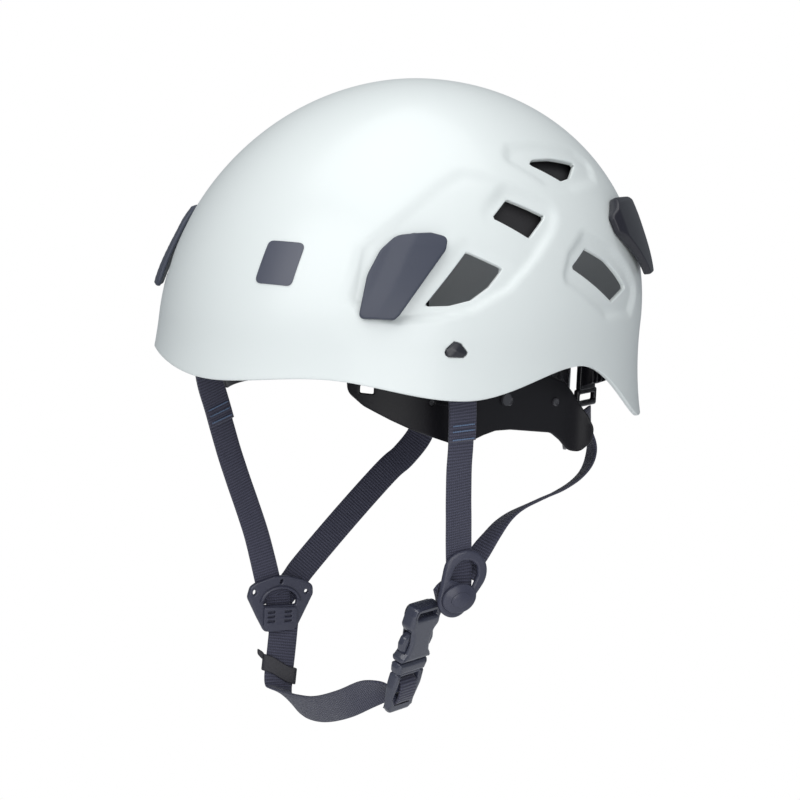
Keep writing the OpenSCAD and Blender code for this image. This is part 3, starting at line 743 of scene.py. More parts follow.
def feet(places):
    """Short stems that join a clip's underside to the shell, by plan angle, height, radius and length."""
    parts = []
    for t, z, r, h in places:
        n = dome_normal(t, z)
        up = unit(np.cross(n, [1, 0.3, 0]))
        stem = lathe([(r, -3.0), (r, h * 0.6), (r * 1.25, h)], 20)
        parts.append(placed(stem, dome(t, z), np.cross(up, n), up, n))
    return join_parts(parts)


def build_clips():
    front = join_parts([front_clip(), feet([(-41, 49, 3.4, 1.2), (-38, 44, 2.4, 1.2)])])
    rear = join_parts([rear_clip(), feet([(32, 58, 3.4, 1.4), (33, 40, 1.2, 2.6)])])
    for place, clip, material in (("front", front, CLIP_SLATE), ("rear", rear, CLIP_DARK)):
        for side, part in both_sides(clip):
            node = f"headlamp_clip_{place}_{side}"
            add_piece(f"clip_{place}_{side}", part, material, "helmet", node, 42)


def build_badge():
    patch = Patch(-72.5, 36)
    outline = rounded(patch.outline([(-78.5, 26), (-68.5, 26), (-67.5, 46), (-77.8, 46)]), 3.2, 6)
    part = slab(outline, thick=0.5, edge=0.2, segments=2, slices=(2, 2))
    part = onto_shell(patch, part, lambda u, v: 0 * u + 0.30)
    add_piece("brow_badge", part, BADGE_GREY, "helmet", "front_badge", 40)


def build_plugs():
    patch, outline, radius = VENTS["plug"]
    edge = rounded(outline * 0.86, 1.2, 5, 1.5)
    centre = edge.mean(0)
    reach = np.abs(edge - centre).max(0)

    def crown(u, v):
        x, y = (u - centre[0]) / reach[0], (v - centre[1]) / reach[1]
        return 1.1 * np.clip(1 - np.maximum(np.abs(x + 0.25 * y), np.abs(y - 0.35 * x)), 0, 1)

    face = slab(edge, thick=2.4, edge=0.6, segments=3, slices=(1.2, 1.2))
    face = onto_shell(patch, face, lambda u, v: 0 * u - 0.9, crown)
    n = dome_normal(-29, -1)
    up = unit(np.cross(n, np.cross([0, 0, 1], n)))
    washer = lathe([(1.8, -7.5), (4.6, -7.5), (4.6, -6.4), (1.8, -6.2), (1.8, -2)], 24)
    washer = placed(washer, dome(-29, -1), np.cross(up, n), up, n)
    for side, part in both_sides(join_parts([face, feet([(-29, -1, 1.8, -1.2)]), washer])):
        add_piece(f"plug_{side}", part, PLUG_DARK, "helmet", f"side_plug_{side}", 30)


# ---------- webbing ----------


def curve_at(pts, s):
    pts = np.asarray(pts, float)
    i = int(min(len(pts) - 2, math.floor(s)))
    f = s - i
    p1, p2 = pts[i], pts[i + 1]
    p0 = pts[i - 1] if i > 0 else 2 * p1 - p2
    p3 = pts[i + 2] if i < len(pts) - 2 else 2 * p2 - p1
    square, cube = 2 * p0 - 5 * p1 + 4 * p2 - p3, 3 * p1 - p0 - 3 * p2 + p3
    return 0.5 * (2 * p1 + (p2 - p0) * f + square * f * f + cube * f ** 3)


def smoothed(rows, rounds):
    rows = np.array(rows)
    for _ in range(rounds):
        rows[1:-1] = 0.25 * rows[:-2] + 0.5 * rows[1:-1] + 0.25 * rows[2:]
    return rows


def strap_path(points, across, steps, rounds=10):
    """Centres, directions, side and face vectors along a strap."""
    span_at = [(len(points) - 1) * k / steps for k in range(steps + 1)]
    centres = smoothed([curve_at(points, s) for s in span_at], rounds)
    sides = smoothed([curve_at(across, s) for s in span_at], rounds)
    ahead = np.gradient(centres, axis=0)
    ahead /= np.linalg.norm(ahead, axis=1, keepdims=True)
    sides = sides - ahead * np.sum(sides * ahead, 1, keepdims=True)
    sides /= np.linalg.norm(sides, axis=1, keepdims=True)
    return centres, ahead, sides, np.cross(ahead, sides)


LOWER_HALF = [(-1, -0.35), (-0.985, -0.8), (-0.94, -1), (-0.5, -1), (0, -1), (0.5, -1), (0.94, -1),
              (0.985, -0.8), (1, -0.35)]
SECTION = LOWER_HALF + [(-x, -y) for x, y in LOWER_HALF]


def strap_mesh(points, across, steps=110, width=16.0, thick=1.5, lift=0.0, start=0.0, end=1.0, sway=0.0):
    """A strap with rounded edges; lift moves it off its path along its face. UVs run in millimetres."""
    first, last = int(round(start * steps)), int(round(end * steps))
    centres, ahead, sides, face = (a[first:last + 1] for a in strap_path(points, across, steps))
    run = np.concatenate([[0], np.cumsum(np.linalg.norm(np.diff(centres, axis=0), axis=1))])
    verts, uvs = [], []
    for k, centre in enumerate(centres):
        wave = sway * math.sin(run[k] / 7.3) + 0.4 * sway * math.sin(run[k] / 3.1 + 1)
        for x, y in SECTION:
            cup = 0.18 * (1 - x * x)
            verts.append(centre + sides[k] * x * width / 2 + face[k] * (y * thick / 2 + lift + wave + cup))
            uvs.append((x * width / 2, run[k]))
    return np.array(verts), tube_faces(len(centres), len(SECTION)), np.array(uvs)


def make_strap(name, body, replaces=None, **shape):
    verts, faces, uvs = strap_mesh(**shape)
    piece = make_object(name, verts, faces, WEB, body, uvs=uvs)
    fix_normals(piece)
    if replaces:
        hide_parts(replaces)
    return piece


STRAP_STEPS = 110


def stitches(name, path, shares, width):
    """Crossed rows of short stitches across a front strap, at shares of its length."""
    centres, ahead, sides, face = strap_path(**path, steps=STRAP_STEPS)
    thread = slab(box_outline(-0.8, -0.22, 0.8, 0.22, 0.2, 2), thick=0.4, edge=0.15, segments=1)
    parts = []
    for share in shares:
        k = int(round(share * STRAP_STEPS))
        for tilt in (0.35, -0.35):
            along = unit(sides[k] + tilt * ahead[k])
            for x in np.linspace(-0.5, 0.5, 9) * (width - 3.2):
                place = centres[k] + sides[k] * x + face[k] * 2.75
                parts.append(placed(thread, place, along, np.cross(face[k], along), face[k]))
    make_object(name, *join_parts(parts), STITCH, "helmet")


FRONT_LEFT = dict(points=[[90.6, -58.4, 3], [90.2, -57.6, -5], [88.5, -49, -17], [88, -46, -29],
                          [87, -44, -48],
                          [85, -42, -63], [79.6, -34.5, -89], [74, -26.6, -110], [73.4, -24.8, -119]],
                  across=[[0.55, 0.83, 0], [0.5, 0.86, 0], [0.4, 0.92, 0]] + [[0.34, 0.94, 0]] * 3
                  + [[0.38, 0.92, 0]] + [[0.42, 0.9, 0]] * 2)
FRONT_RIGHT = dict(points=[[-90.6, -58.4, 3], [-90.2, -57.8, -5], [-88.5, -56, -20], [-88, -53, -39],
                           [-88, -45, -59], [-86, -34, -90], [-81.4, -21.4, -124], [-77.6, -15.6, -148],
                           [-76.2, -12.6, -160]],
                   across=[[-0.5, 0.86, 0], [-0.4, 0.9, 0], [-0.1, 0.97, 0.1], [0.2, 0.96, 0.25]]
                   + [[0.2, 0.95, 0.3]] * 2 + [[0.25, 0.93, 0.25], [0.4, 0.9, 0.2], [0.42, 0.9, 0.1]])
REAR_LEFT = dict(points=[[62.8, 84.4, -47.9], [64.6, 87, -58], [67, 86.5, -70], [70, 76.8, -80],
                         [73, 56, -86.5],
                         [75.5, 30, -89.5], [76.5, 8, -94], [75.6, -4, -103], [73.6, -12, -113]],
                 across=[[0.14, -0.99, 0], [0.6, -0.75, 0.1], [0.82, -0.35, 0.4], [0.85, -0.2, 0.5]]
                 + [[0.88, -0.1, 0.45]] * 2 + [[0.88, 0, 0.35], [0.88, 0.1, 0.15], [0.85, 0.35, 0]])
REAR_RIGHT = dict(points=[[-62.6, 84.8, -48.6], [-63, 90, -62], [-62.5, 93, -79], [-64.5, 80, -93.5],
                          [-66.5, 69, -101], [-71, 40, -126], [-74.5, 12, -151], [-75, 5, -158]],
                  across=[[0.14, 0.99, 0], [0.6, 0.75, -0.1], [0.68, 0.6, -0.4], [0.63, 0.5, -0.6]]
                  + [[0.62, 0.47, -0.64]] * 2 + [[0.6, 0.5, -0.6], [0.5, 0.6, -0.6]])
SHORT = dict(points=[[71.6, -26.5, -127.5], [69.2, -30.4, -129], [66.6, -34.6, -131.4]],
             across=[[0.5, 0.6, -0.6], [0.3, 0.85, -0.4], [0.05, 0.98, -0.15]])
CHIN = dict(points=[[-71.2, -5.5, -184.5], [-69.4, -8.4, -197.1], [-67.7, -11.2, -209.6],
                    [-64, -12.9, -215.2],
                    [-54, -15.3, -218.6], [-38, -20, -217.5], [-18, -26, -212.5], [6, -33.4, -202],
                    [24, -37, -192], [36, -37.5, -186.5], [43.5, -35.2, -184.6]],
            across=[[0.6, 0.78, 0], [0.6, 0.78, -0.1], [0.6, 0.76, -0.1], [0.5, 0.7, -0.5], [0.3, 0.6, -0.75],
                    [0.13, 0.45, -0.88], [0.1, 0.4, -0.9], [0.2, 0.3, -0.9], [0.25, 0.4, -0.85],
                    [0.2, 0.7, -0.65], [0.05, 0.95, -0.3]])


def longer(path, start=None, end=None):
    """The same path with one more point at either end, where the webbing tucks under a yoke."""
    points, across = list(path["points"]), list(path["across"])
    if start:
        points, across = [start] + points, [across[0]] + across
    if end:
        points, across = points + [end], across + [across[-1]]
    return dict(points=points, across=across)


def build_straps():
    for name, path, width, sway in (
            ("front_left", longer(FRONT_LEFT, end=[73.3, -24.7, -126.5]), 13.6, 0.12),
            ("front_right", longer(FRONT_RIGHT, end=[-76.4, -9.2, -167.5]), 14.6, 0.12),
            ("rear_left", longer(REAR_LEFT, end=[72.6, -19.5, -122]), 11.0, 0.1),
            ("rear_right", longer(REAR_RIGHT, end=[-76, -3.2, -166]), 15.0, 0.1)):
        make_strap(f"webbing_{name}", "helmet", f"strap_{name}", **path, width=width, sway=sway)
    fold = dict(lift=1.5, start=0.3, end=0.5, width=14.4)
    make_strap("webbing_front_left_fold", "helmet", **FRONT_LEFT, **fold)
    fold = dict(lift=1.5, start=0.34, end=0.525, width=15.4)
    make_strap("webbing_front_right_fold", "helmet", **FRONT_RIGHT, **fold)
    make_strap("webbing_buckle_left", "helmet", "strap_buckle_left", **SHORT, steps=24, width=13.0)
    path = longer(CHIN, start=[-73.2, -2.6, -172.5])
    chin = make_strap("webbing_chin", None, "chin_strap", **path, steps=160, sway=0.06)
    stitches("tacks_front_left", FRONT_LEFT, (0.445, 0.462, 0.487), 13.6)
    stitches("tacks_front_right", FRONT_RIGHT, (0.478, 0.496, 0.514), 14.4)
    return chin


# ---------- headband, panels and arms ----------

PANEL_EDGE = [(-80.8, -12), (-60, -3), (-30, 2), (10, 0), (22, -14), (31, -23), (44, -27), (49.2, -29),
              (54, -33.5), (58, -39), (64, -46.5), (67.5, -53), (66.6, -60.5), (60.5, -66), (54, -65.2),
              (46.7, -59), (39, -54.2), (5.8, -49.3), (-6, -48.7), (-15, -50), (-26, -52.6), (-34, -53.2),
              (-45.6, -49.1), (-58.4, -43.8), (-65.4, -40), (-75, -33.5), (-80, -27)]
PANEL_RADII = [5, 8, 10, 10, 8, 12, 8, 6, 8, 10, 10, 7, 6, 6, 8, 10, 14, 20, 10, 8, 14, 14, 30, 30, 14, 10, 7]
FAR_PANEL_EDGE = PANEL_EDGE[:9] + [(57, -41), (-64, -41)] + PANEL_EDGE[-2:]
BAND_Y, PANEL_R = -18.0, 75.95


def wall_map(part, radius, centre_y, sign=1):
    """Bends a flat part (X along the wall, Y up, Z outwards) round an upright wall."""
    verts, faces = part
    a = np.minimum(verts[:, 0], 0) / radius
    r = radius + verts[:, 2]
    x = r * np.cos(a)
    y = centre_y + sign * np.where(verts[:, 0] > 0, verts[:, 0], r * np.sin(a))
    if sign < 0:
        faces = [f[::-1] for f in faces]
    return np.stack([x, y, verts[:, 1]], -1), faces


def along_band(y):
    """Distance along the side panel's wall of the place at plan Y."""
    return y - BAND_Y if y > BAND_Y else PANEL_R * math.asin((y - BAND_Y) / PANEL_R)


def curl(part):
    """Curls a panel's rear end outward, past where its straight wall stops."""
    verts, faces = part
    verts = verts.copy()
    reach, radius = 50.0, 14.95
    past = np.clip(verts[:, 1] - reach, 0, None)
    angle = np.minimum(past / radius, 1.2)
    inward = radius - (verts[:, 0] - PANEL_R)
    x = PANEL_R + radius - inward * np.cos(angle)
    y = reach + inward * np.sin(angle)
    bent = past > 0
    verts[:, 0] = np.where(bent, x, verts[:, 0])
    verts[:, 1] = np.where(bent, y, verts[:, 1])
    return verts, faces


def build_panels():
    slot_y, pin_y = along_band(-74), along_band(-47.6)
    slot = rounded([(slot_y - 3.4, -27), (slot_y + 3.2, -27.4), (slot_y + 3.2, -23.8),
                    (slot_y - 3.4, -23.2)], 0.8, 4)
    holes = [slot, ellipse(pin_y, -31.6, 1.25, 1.25, 16)]
    line = [(pin_y + 3, -32.4), (pin_y + 15, -34.4), (pin_y + 15, -33.2), (pin_y + 3, -31.2)]
    groove = raised(slab(rounded(line, 0.5, 3), thick=0.5, edge=0.2, segments=1, slices=(2, 0)), 1.0)
    groove = wall_map(groove, PANEL_R, BAND_Y)
    shapes = []
    for edge, radii, steps in ((PANEL_EDGE, PANEL_RADII, 6), (FAR_PANEL_EDGE, 4.0, 4)):
        outline = rounded([(along_band(y), z) for y, z in edge], radii, steps, 2.5)
        wall = wall_map(slab(outline, holes, 1.9, 0.7, 3, (2.2, 6.0)), PANEL_R, BAND_Y)
        shapes.append(join_parts([curl(wall), groove]))
    for side, part in both_sides(*shapes):
        add_piece(f"panel_{side}", part, BAND_BLACK, "helmet", f"side_panel_{side}", 40)


def build_rivets():
    profile = [(2.0, -3.0), (2.0, -0.1), (3.2, 0), (3.2, 0.5), (2.9, 1.0), (2.2, 1.25), (1.9, 0.85),
               (1.2, 0.7),
               (0.01, 0.75)]
    parts = []
    for y, z, scale in ((40.2, -38, 0.72), (2.6, -34, 0.85)):
        rivet = lathe([(r * scale, h) for r, h in profile], 32)
        parts.append(placed(rivet, (76.95, y, z), (0, 1, 0), (0, 0, 1), (1, 0, 0)))
    left = join_parts(parts)
    part = join_parts([left, mirrored(left)])
    add_piece("panel_rivets", part, STUD_GREY, "helmet", "panel_studs", 30)


ARM_ROOT = [(-7, -31), (-4, -26.5), (4, -26.5), (10, -27), (31, -24), (44, -22.5), (66, -22.5)]
ARM_PIVOT = [(6, -39), (-4, -39.6), (-7, -35)]
ARM_EDGES = {
    "left": [(76, -27), (83, -36), (87, -39.6), (98.2, -39.6), (98.2, -42.5), (96, -44), (92, -50), (90, -57),
             (86, -64), (80, -68.6), (73, -70), (69.5, -68), (63, -61.4), (55, -57), (42, -52), (22, -44)],
    "right": [(76, -28), (84, -42), (90, -56.5), (98.2, -57.5), (98.2, -60.4), (94.2, -60.4), (90, -63),
              (84, -66.5), (78, -69), (72, -69.5), (66, -63), (60, -50), (48, -42), (22, -40.5)]}
ARM_Y, ARM_R = 27.5, 72.5


def along_arm(y):
    """Distance from the rear arc's start, negative round the arc, of plan place Y."""
    return ARM_Y - y if y < ARM_Y else -ARM_R * math.asin(min(1, (y - ARM_Y) / ARM_R))


def flare_arm(part):
    """Opens the ear of an arm outwards where it hangs below the panel."""
    verts, faces = part
    verts = verts.copy()
    verts[:, 2] += 2.0 * span(-verts[:, 0], 24, 40) * (1 - span(-verts[:, 0], 62, 80))
    return verts, faces


def build_arms():
    for side, edge in ARM_EDGES.items():
        outline = rounded([(along_arm(y), z) for y, z in ARM_ROOT + edge + ARM_PIVOT], 4.0, 5, 2.5)
        hole = ellipse(along_arm(0), -33, 3.11, 3.11, 24)
        wing = wall_map(flare_arm(slab(outline, [hole], 2.2, 0.8, 3, (2.2, 3.0))), ARM_R, ARM_Y, -1)
        part = join_parts([wing, rack_part(1 if side == "left" else -1)])
        part = mirrored(part) if side == "right" else part
        node = f"arm_{side}"
        add_piece(f"{node}_wing", part, GLOSS_BLACK, f"{side}_arm", node, 40, mend=True)


DIAL_Z = -50.0


def rack_part(sign):
    """Toothed bar that the dial's pinion drives, over the dial or under it."""
    pitch = 2 * math.pi * 6 / 10
    line = [(-13, 7.5)]
    for i in range(-3, 5):
        c = (i + 0.5) * pitch
        line += [(c - 0.8, 7.6), (c - 0.42, 4.95), (c + 0.42, 4.95), (c + 0.8, 7.6)]
    line += [(23, 7.5), (23, 10.4), (-13, 10.4)]
    verts, faces = slab(np.array(line) * (1, sign), thick=2.4, edge=0.15, segments=1)
    return np.stack([verts[:, 0], 97.6 + verts[:, 2], DIAL_Z + verts[:, 1]], -1), faces


def build_hangers():
    upright = ((0, 1, 0), (0, 0, 1), (1, 0, 0))
    line = [(-8, -22), (8, -22), (8, 12), (5, 16), (5, 24), (-5, 24), (-5, 16), (-8, 12)]
    parts = [placed(slab(rounded(line, 1.2, 4), thick=3.0, edge=0.6), (0, 0, 0), *upright)]
    fin = slab(rounded([(1.2, -20), (8.4, -17), (8.4, 8), (5, 12), (1.2, 12)], 1.4, 4), thick=1.2, edge=0.35)
    for y in (-6.8, -2.2, 2.4, 6.8):
        parts.append(placed(fin, (0, y, 0), (1, 0, 0), (0, 0, 1), (0, -1, 0)))
    gap = box_outline(-7.6, -28, 7.6, -24.2, 0.8)
    parts.append(placed(slab(box_outline(-10, -31, 10, -21.5, 1.6), [gap], 3.0, 0.8), (0, 0, 0), *upright))
    c, s = math.cos(math.radians(39)), math.sin(math.radians(39))
    parts.append(placed(lathe([(3.5, 0), (3.5, 23.2)], 28), (c, s, 21), (0, 0, 1), (-s, c, 0), (c, s, 0)))
    hanger = raised(turned(join_parts(parts), 8, (62.6, 83.7)), -15)
    for side, part in both_sides(hanger):
        node = f"strap_hanger_{side}"
        add_piece(f"hanger_{side}", part, GLOSS_BLACK, "helmet", node, 35, mend=True)


# ---------- yokes ----------


YOKE_TURN = math.radians(-25)
YOKE_ALONG = vec(-math.sin(YOKE_TURN), math.cos(YOKE_TURN), 0)
YOKE_NORMAL = vec(math.cos(YOKE_TURN), math.sin(YOKE_TURN), 0)


def add_yoke_piece(name, part, origin, normal, node):
    part = placed(part, origin, YOKE_ALONG, (0, 0, 1), normal)
    add_piece(name, part, YOKE_SLATE, "helmet", node, 40, mend=True)


def circle_hull(top_radius, low_radius, gap, steps=30):
    slope = math.degrees(math.asin((top_radius - low_radius) / gap))
    out = []
    for k in range(steps + 1):
        a = math.radians(-slope + (180 + 2 * slope) * k / steps)
        out.append((top_radius * math.cos(a), gap / 2 + top_radius * math.sin(a)))
    for k in range(steps + 1):
        a = math.radians(180 + slope + (180 - 2 * slope) * k / steps)
        out.append((low_radius * math.cos(a), -gap / 2 + low_radius * math.sin(a)))
    return np.array(out)


def turned(part, degrees, shift):
    verts, faces = part
    a = math.radians(degrees)
    x = verts[:, 0] * math.cos(a) - verts[:, 1] * math.sin(a) + shift[0]
    y = verts[:, 0] * math.sin(a) + verts[:, 1] * math.cos(a) + shift[1]
    return np.stack([x, y, verts[:, 2]], -1), faces


def domed(part, height, centre, reach):
    """Raises the upper face of a plate into a low dome."""
    verts, faces = part
    verts = verts.copy()
    r = ((verts[:, 0] - centre[0]) / reach[0]) ** 2 + ((verts[:, 1] - centre[1]) / reach[1]) ** 2
    verts[:, 2] += np.where(verts[:, 2] > 0, height * np.clip(1 - r, 0, 1), 0)
    return verts, faces


def build_left_yoke():
    origin = vec(75.8, -24.5, -122.6)
    lean = (-22.8, (-2.5, -3))
    window = rounded([(-6.4, 1.2), (6.4, 1.2), (6.6, 8.5), (4.6, 12.8), (0, 14.5), (-4.6, 12.8), (-6.6, 8.5)],
                     [1, 1, 4, 4, 4, 4, 4], 5)
    ring = raised(slab(circle_hull(11.7, 8.4, 15.4), [window], 3.2, 1.3, 4, (1.6, 1.6)), 1.6)
    ring[0][:, 2] -= 0.05 * np.maximum(np.abs(ring[0][:, 0]) - 3, 0) ** 1.5 * 0.6
    bar = raised(slab(box_outline(-9, -0.6, 9, 1.8, 0.8, 3), thick=2.6, edge=0.8), 1.3)
    part = turned(join_parts([ring, bar]), *lean)
    add_yoke_piece("yoke_left_ring", part, origin, YOKE_NORMAL, "yoke_left")

    cap = slab(ellipse(1.2, -5.2, 9.2, 7.3, 48, 38), thick=1.8, edge=0.8, segments=4, slices=(1.2, 1.2))
    cap = raised(domed(cap, 1.6, (1.2, -5.2), (8.4, 7.6)), 4.2)
    mark = slab(ellipse(1.2, -5.4, 5.0, 3.6, 32, 38), thick=0.5, edge=0.2, segments=2, slices=(1, 1))
    mark = raised(domed(mark, 0.5, (1.2, -5.4), (4.6, 4.0)), 6.5)
    part = turned(join_parts([cap, mark]), *lean)
    add_yoke_piece("yoke_left_button", part, origin, YOKE_NORMAL, "yoke_cap_left")


def build_right_yoke():
    origin = vec(-75, -7, -168) + YOKE_NORMAL * 4.6
    outline = rounded([(-19, 3.5), (-17.5, 9.5), (-13.6, 12), (-3.9, 15), (3.9, 15), (13.5, 12.5), (19, 9),
                       (19.3, 4), (13.6, -8), (10, -15.5), (-8.5, -16.5), (-13.2, -8)],
                      [4, 4, 5, 3, 3, 5, 4, 4, 8, 3, 3, 8], 5)
    window = rounded([(9.4, -1.6)] + arc_points(9.8, 7.4, 0.3, range(8, 173, 9)) + [(-9.4, -1.6)], 0.8, 2, 3)
    holes = [window, ellipse(-15.0, 6.4, 1.0, 1.5, 14), ellipse(0.4, 11.9, 0.8, 1.3, 14, -25),
             ellipse(15.2, 5.6, 1.1, 1.1, 14)]
    plate = raised(slab(outline, holes, 3.2, 0.8, 3, (2.0, 2.0)), 1.6)
    flap_line = [(-9.6, -1.9), (9.8, -2.7), (10, -12.6), (8.6, -15.6), (-7, -16.2), (-9.4, -13.2)]
    flap_edge = rounded(flap_line, [1.5, 1.5, 3, 2, 2, 3], 5)
    slots = [box_outline(x - 2.1, z, x + 2.1, z + 1.2, 0.5, 2, 9)
             for x in (-5.2, 4.6) for z in (-5.6, -8.2, -10.8)]
    inner_flap = raised(slab(flap_edge, slots, 1.6, 0.45, 3), -0.6)
    bead = arc_points(12.1, 10.3, -0.6, range(5, 176, 8)) + arc_points(9.9, 7.6, 0.2, range(172, 4, -8))
    hood = raised(slab(np.array(bead), thick=2.2, edge=0.9, segments=3, slices=(1.6, 1.6)), 3.4)
    inner_hood = (hood[0] * vec(1, 1, -1) + vec(0, 0, 3.2), [f[::-1] for f in hood[1]])
    part = join_parts([plate, hood, inner_hood, inner_flap])
    add_yoke_piece("yoke_right_plate", part, origin, -YOKE_NORMAL, "yoke_right")

    flap = raised(domed(slab(flap_edge, slots, 1.8, 0.45, 3, (1.6, 1.6)), 0.9, (0, -9), (12, 9)), 4.3)
    add_yoke_piece("yoke_right_flap", flap, origin, -YOKE_NORMAL, "yoke_cap_right")


# ---------- buckle ----------


def buckle_axes():
    lean, turn = math.radians(15.7), math.radians(93)
    x = vec(math.cos(turn) * math.cos(lean), math.sin(turn), -math.cos(turn) * math.sin(lean))
    y = vec(-math.sin(turn) * math.cos(lean), math.cos(turn), math.sin(turn) * math.sin(lean))
    z = vec(math.sin(lean), 0, math.cos(lean))
    return vec(55, -38, -165), x, y, z


def cut_out(obj, cutter_part):
    cutter = make_object("cutter", *cutter_part, None, None)
    mod = obj.modifiers.new("Cut", "BOOLEAN")
    mod.operation = "DIFFERENCE"
    mod.object = cutter
    mod.solver = "EXACT"
    bpy.context.view_layer.update()
    mesh = bpy.data.meshes.new_from_object(obj.evaluated_get(bpy.context.evaluated_depsgraph_get()))
    obj.modifiers.clear()
    old = obj.data
    obj.data = mesh
    bpy.data.meshes.remove(old)
    bpy.data.objects.remove(cutter)


def buckle_part(outline, holes, thick, edge, swell=0.0):
    """A plate of the buckle, thicker along its middle by the share swell."""
    verts, faces = slab(outline, holes, thick, edge, 4, (1.4, 1.4))
    verts[:, 2] *= 1 + swell * (1 - (verts[:, 0] / 13.0) ** 2)
    return verts, faces


def build_buckle():
    origin, bx, by, bz = buckle_axes()

    def put(part):
        return placed(part, origin, bx, bz, -by)

    def add_plug_piece(name, part, node, angle):
        return add_piece(name, put(part), BUCKLE_DARK, "chin_piece", node, angle, mend=True)

    flank = [(9.4, 31), (10.6, 27), (11.2, 20), (8.6, 16.8), (7.4, 11), (8.8, 5.4), (11, 2.8), (11, 0.2)]
    flank_radii = [2.4, 4, 3, 3, 5, 3, 2, 1]
    body = [(-9.4, 31)] + flank + [(-x, z) for x, z in flank[:0:-1]]
    body = rounded(body, [2.4] + flank_radii + flank_radii[:0:-1], 5)
    socket = buckle_part(body, [box_outline(-7.4, 25, 7.4, 28, 1.0)], 8.0, 2.2, 0.06)
    socket = make_object("buckle_female", *put(socket), BUCKLE_DARK, "helmet")
    fix_normals(socket)
    cut_out(socket, put(slab(box_outline(-9.2, -1, 9.2, 20, 0.5, 2), thick=4.8, edge=0.3)))
    smooth_by_angle(socket, 35)
    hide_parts("buckle_socket")

    collar = rounded([(-10.8, -0.4), (10.8, -0.4), (11.2, -3.4), (10.2, -7.2), (-10.2, -7.2), (-11.2, -3.4)],
                     [1.2, 1.2, 3, 2, 2, 3], 5)
    guide = rounded([(-2.2, -1.5), (2.2, -1.5), (2.2, 15), (1.2, 16), (-1.2, 16), (-2.2, 15)], 0.6, 3)
    ladder = rounded([(-10.2, -6), (10.2, -6), (10.6, -14), (9.6, -27), (7.5, -30), (-7.5, -30), (-9.6, -27),
                      (-10.6, -14)], [1, 1, 6, 4, 3, 3, 4, 6], 5)
    windows = [box_outline(-7.6, z, 7.6, z + h, 0.8, 3)
               for z, h in ((-27.4, 4.6), (-19.8, 4.0), (-12.8, 3.4))]
    rails = []
    for sign in (1, -1):
        line = [(-10.4, -7), (-7.2, -7), (-7.0, -20), (-8.0, -29.4), (-9.6, -27), (-10.9, -15)]
        line = [(sign * x, z) for x, z in line]
        verts, faces = buckle_part(rounded(line, [1, 1, 3, 1, 3, 4], 4), [], 6.2, 1.5)
        verts[:, 2] *= 1 - 0.45 * span(-verts[:, 1], 10, 29)
        rails.append((verts, faces))
    plug = [buckle_part(collar, [], 7.0, 2.4, 0.05), slab(guide, thick=4.2, edge=0.7),
            buckle_part(ladder, windows, 4.4, 1.7)] + rails
    add_plug_piece("buckle_male", join_parts(plug), "buckle_plug", 35)

    prong = rounded([(5.4, -0.6), (8.6, -0.6), (9.0, 4.6), (11.2, 6.8), (12.2, 10.4), (11.2, 14.2),
                     (7.6, 16.6),
                     (6.0, 16), (6.0, 5)], [0.4, 0.4, 2, 2, 3, 2.5, 2, 1, 3], 5)
    prong = buckle_part(prong, [], 4.2, 1.6)
    prongs = add_plug_piece("buckle_fingers", join_parts([prong, mirrored(prong)]), "buckle_prongs", 40)
    return prongs, bx, origin + bz * 6


def build_loops():
    """Webbing seen where it turns round the bars of the far yoke and of the buckle's ladder."""
    origin, bx, by, bz = buckle_axes()
    run = [(-26.0, -0.8), (-24.9, 1.6), (-23, 3.0), (-19.6, 3.5), (-16, 3.4), (-13.2, 2.9), (-11.8, 1.4),
           (-11.2, -0.8)]
    shape = dict(points=[list(origin + bz * z - by * out) for z, out in run], across=[list(bx)] * 2)
    make_strap("webbing_ladder_loop", "chin_piece", **shape, width=12.6, thick=1.2, steps=48)
    shape = dict(points=[[-74, -7.4, -160.2], [-74.5, -7.2, -164], [-74.6, -7.1, -168],
                         [-74.5, -7.1, -171.6]],
                 across=[[0.42, 0.91, 0]] * 2)
    make_strap("webbing_yoke_loop", "helmet", **shape, width=14.0, thick=1.1, steps=24)


def build_keeper():
    """Elastic keeper round the chin strap with a short pull tab."""
    centres, ahead, sides, face = strap_path(**CHIN, steps=60, rounds=3)
    k = 9
    outer = box_outline(-9.9, -2.6, 9.9, 2.6, 2.0, 6, 1.6)
    inner = box_outline(-8.7, -1.5, 8.7, 1.5, 0.7, 6, 1.6)
    band = raised(slab(outer, [inner], 9.0, 0.6, 3, (1.6, 0)), 1.6)
    x = band[0][:, 0]
    band[0][:, 2] += 0.35 * x + 0.5 * np.sin(x / 2.6)
    outline = rounded([(-13.4, -1.5), (-9.2, -2.2), (-9.2, 2.2), (-13, 1.5)], 1.2, 4)
    verts, faces = slab(outline, thick=3.2, edge=1.1, slices=(1.5, 0))
    x, y, z = verts.T
    tab = (np.stack([x, z * 0.8, y - 4.2 - 0.7 * np.maximum(-9 - x, 0)], -1), faces)
    part = placed(join_parts([band, tab]), centres[k], sides[k], face[k], ahead[k])
    add_piece("keeper_band", part, RUBBER, "keeper", "strap_keeper", 40, mend=True)


# ---------- liner and pads ----------


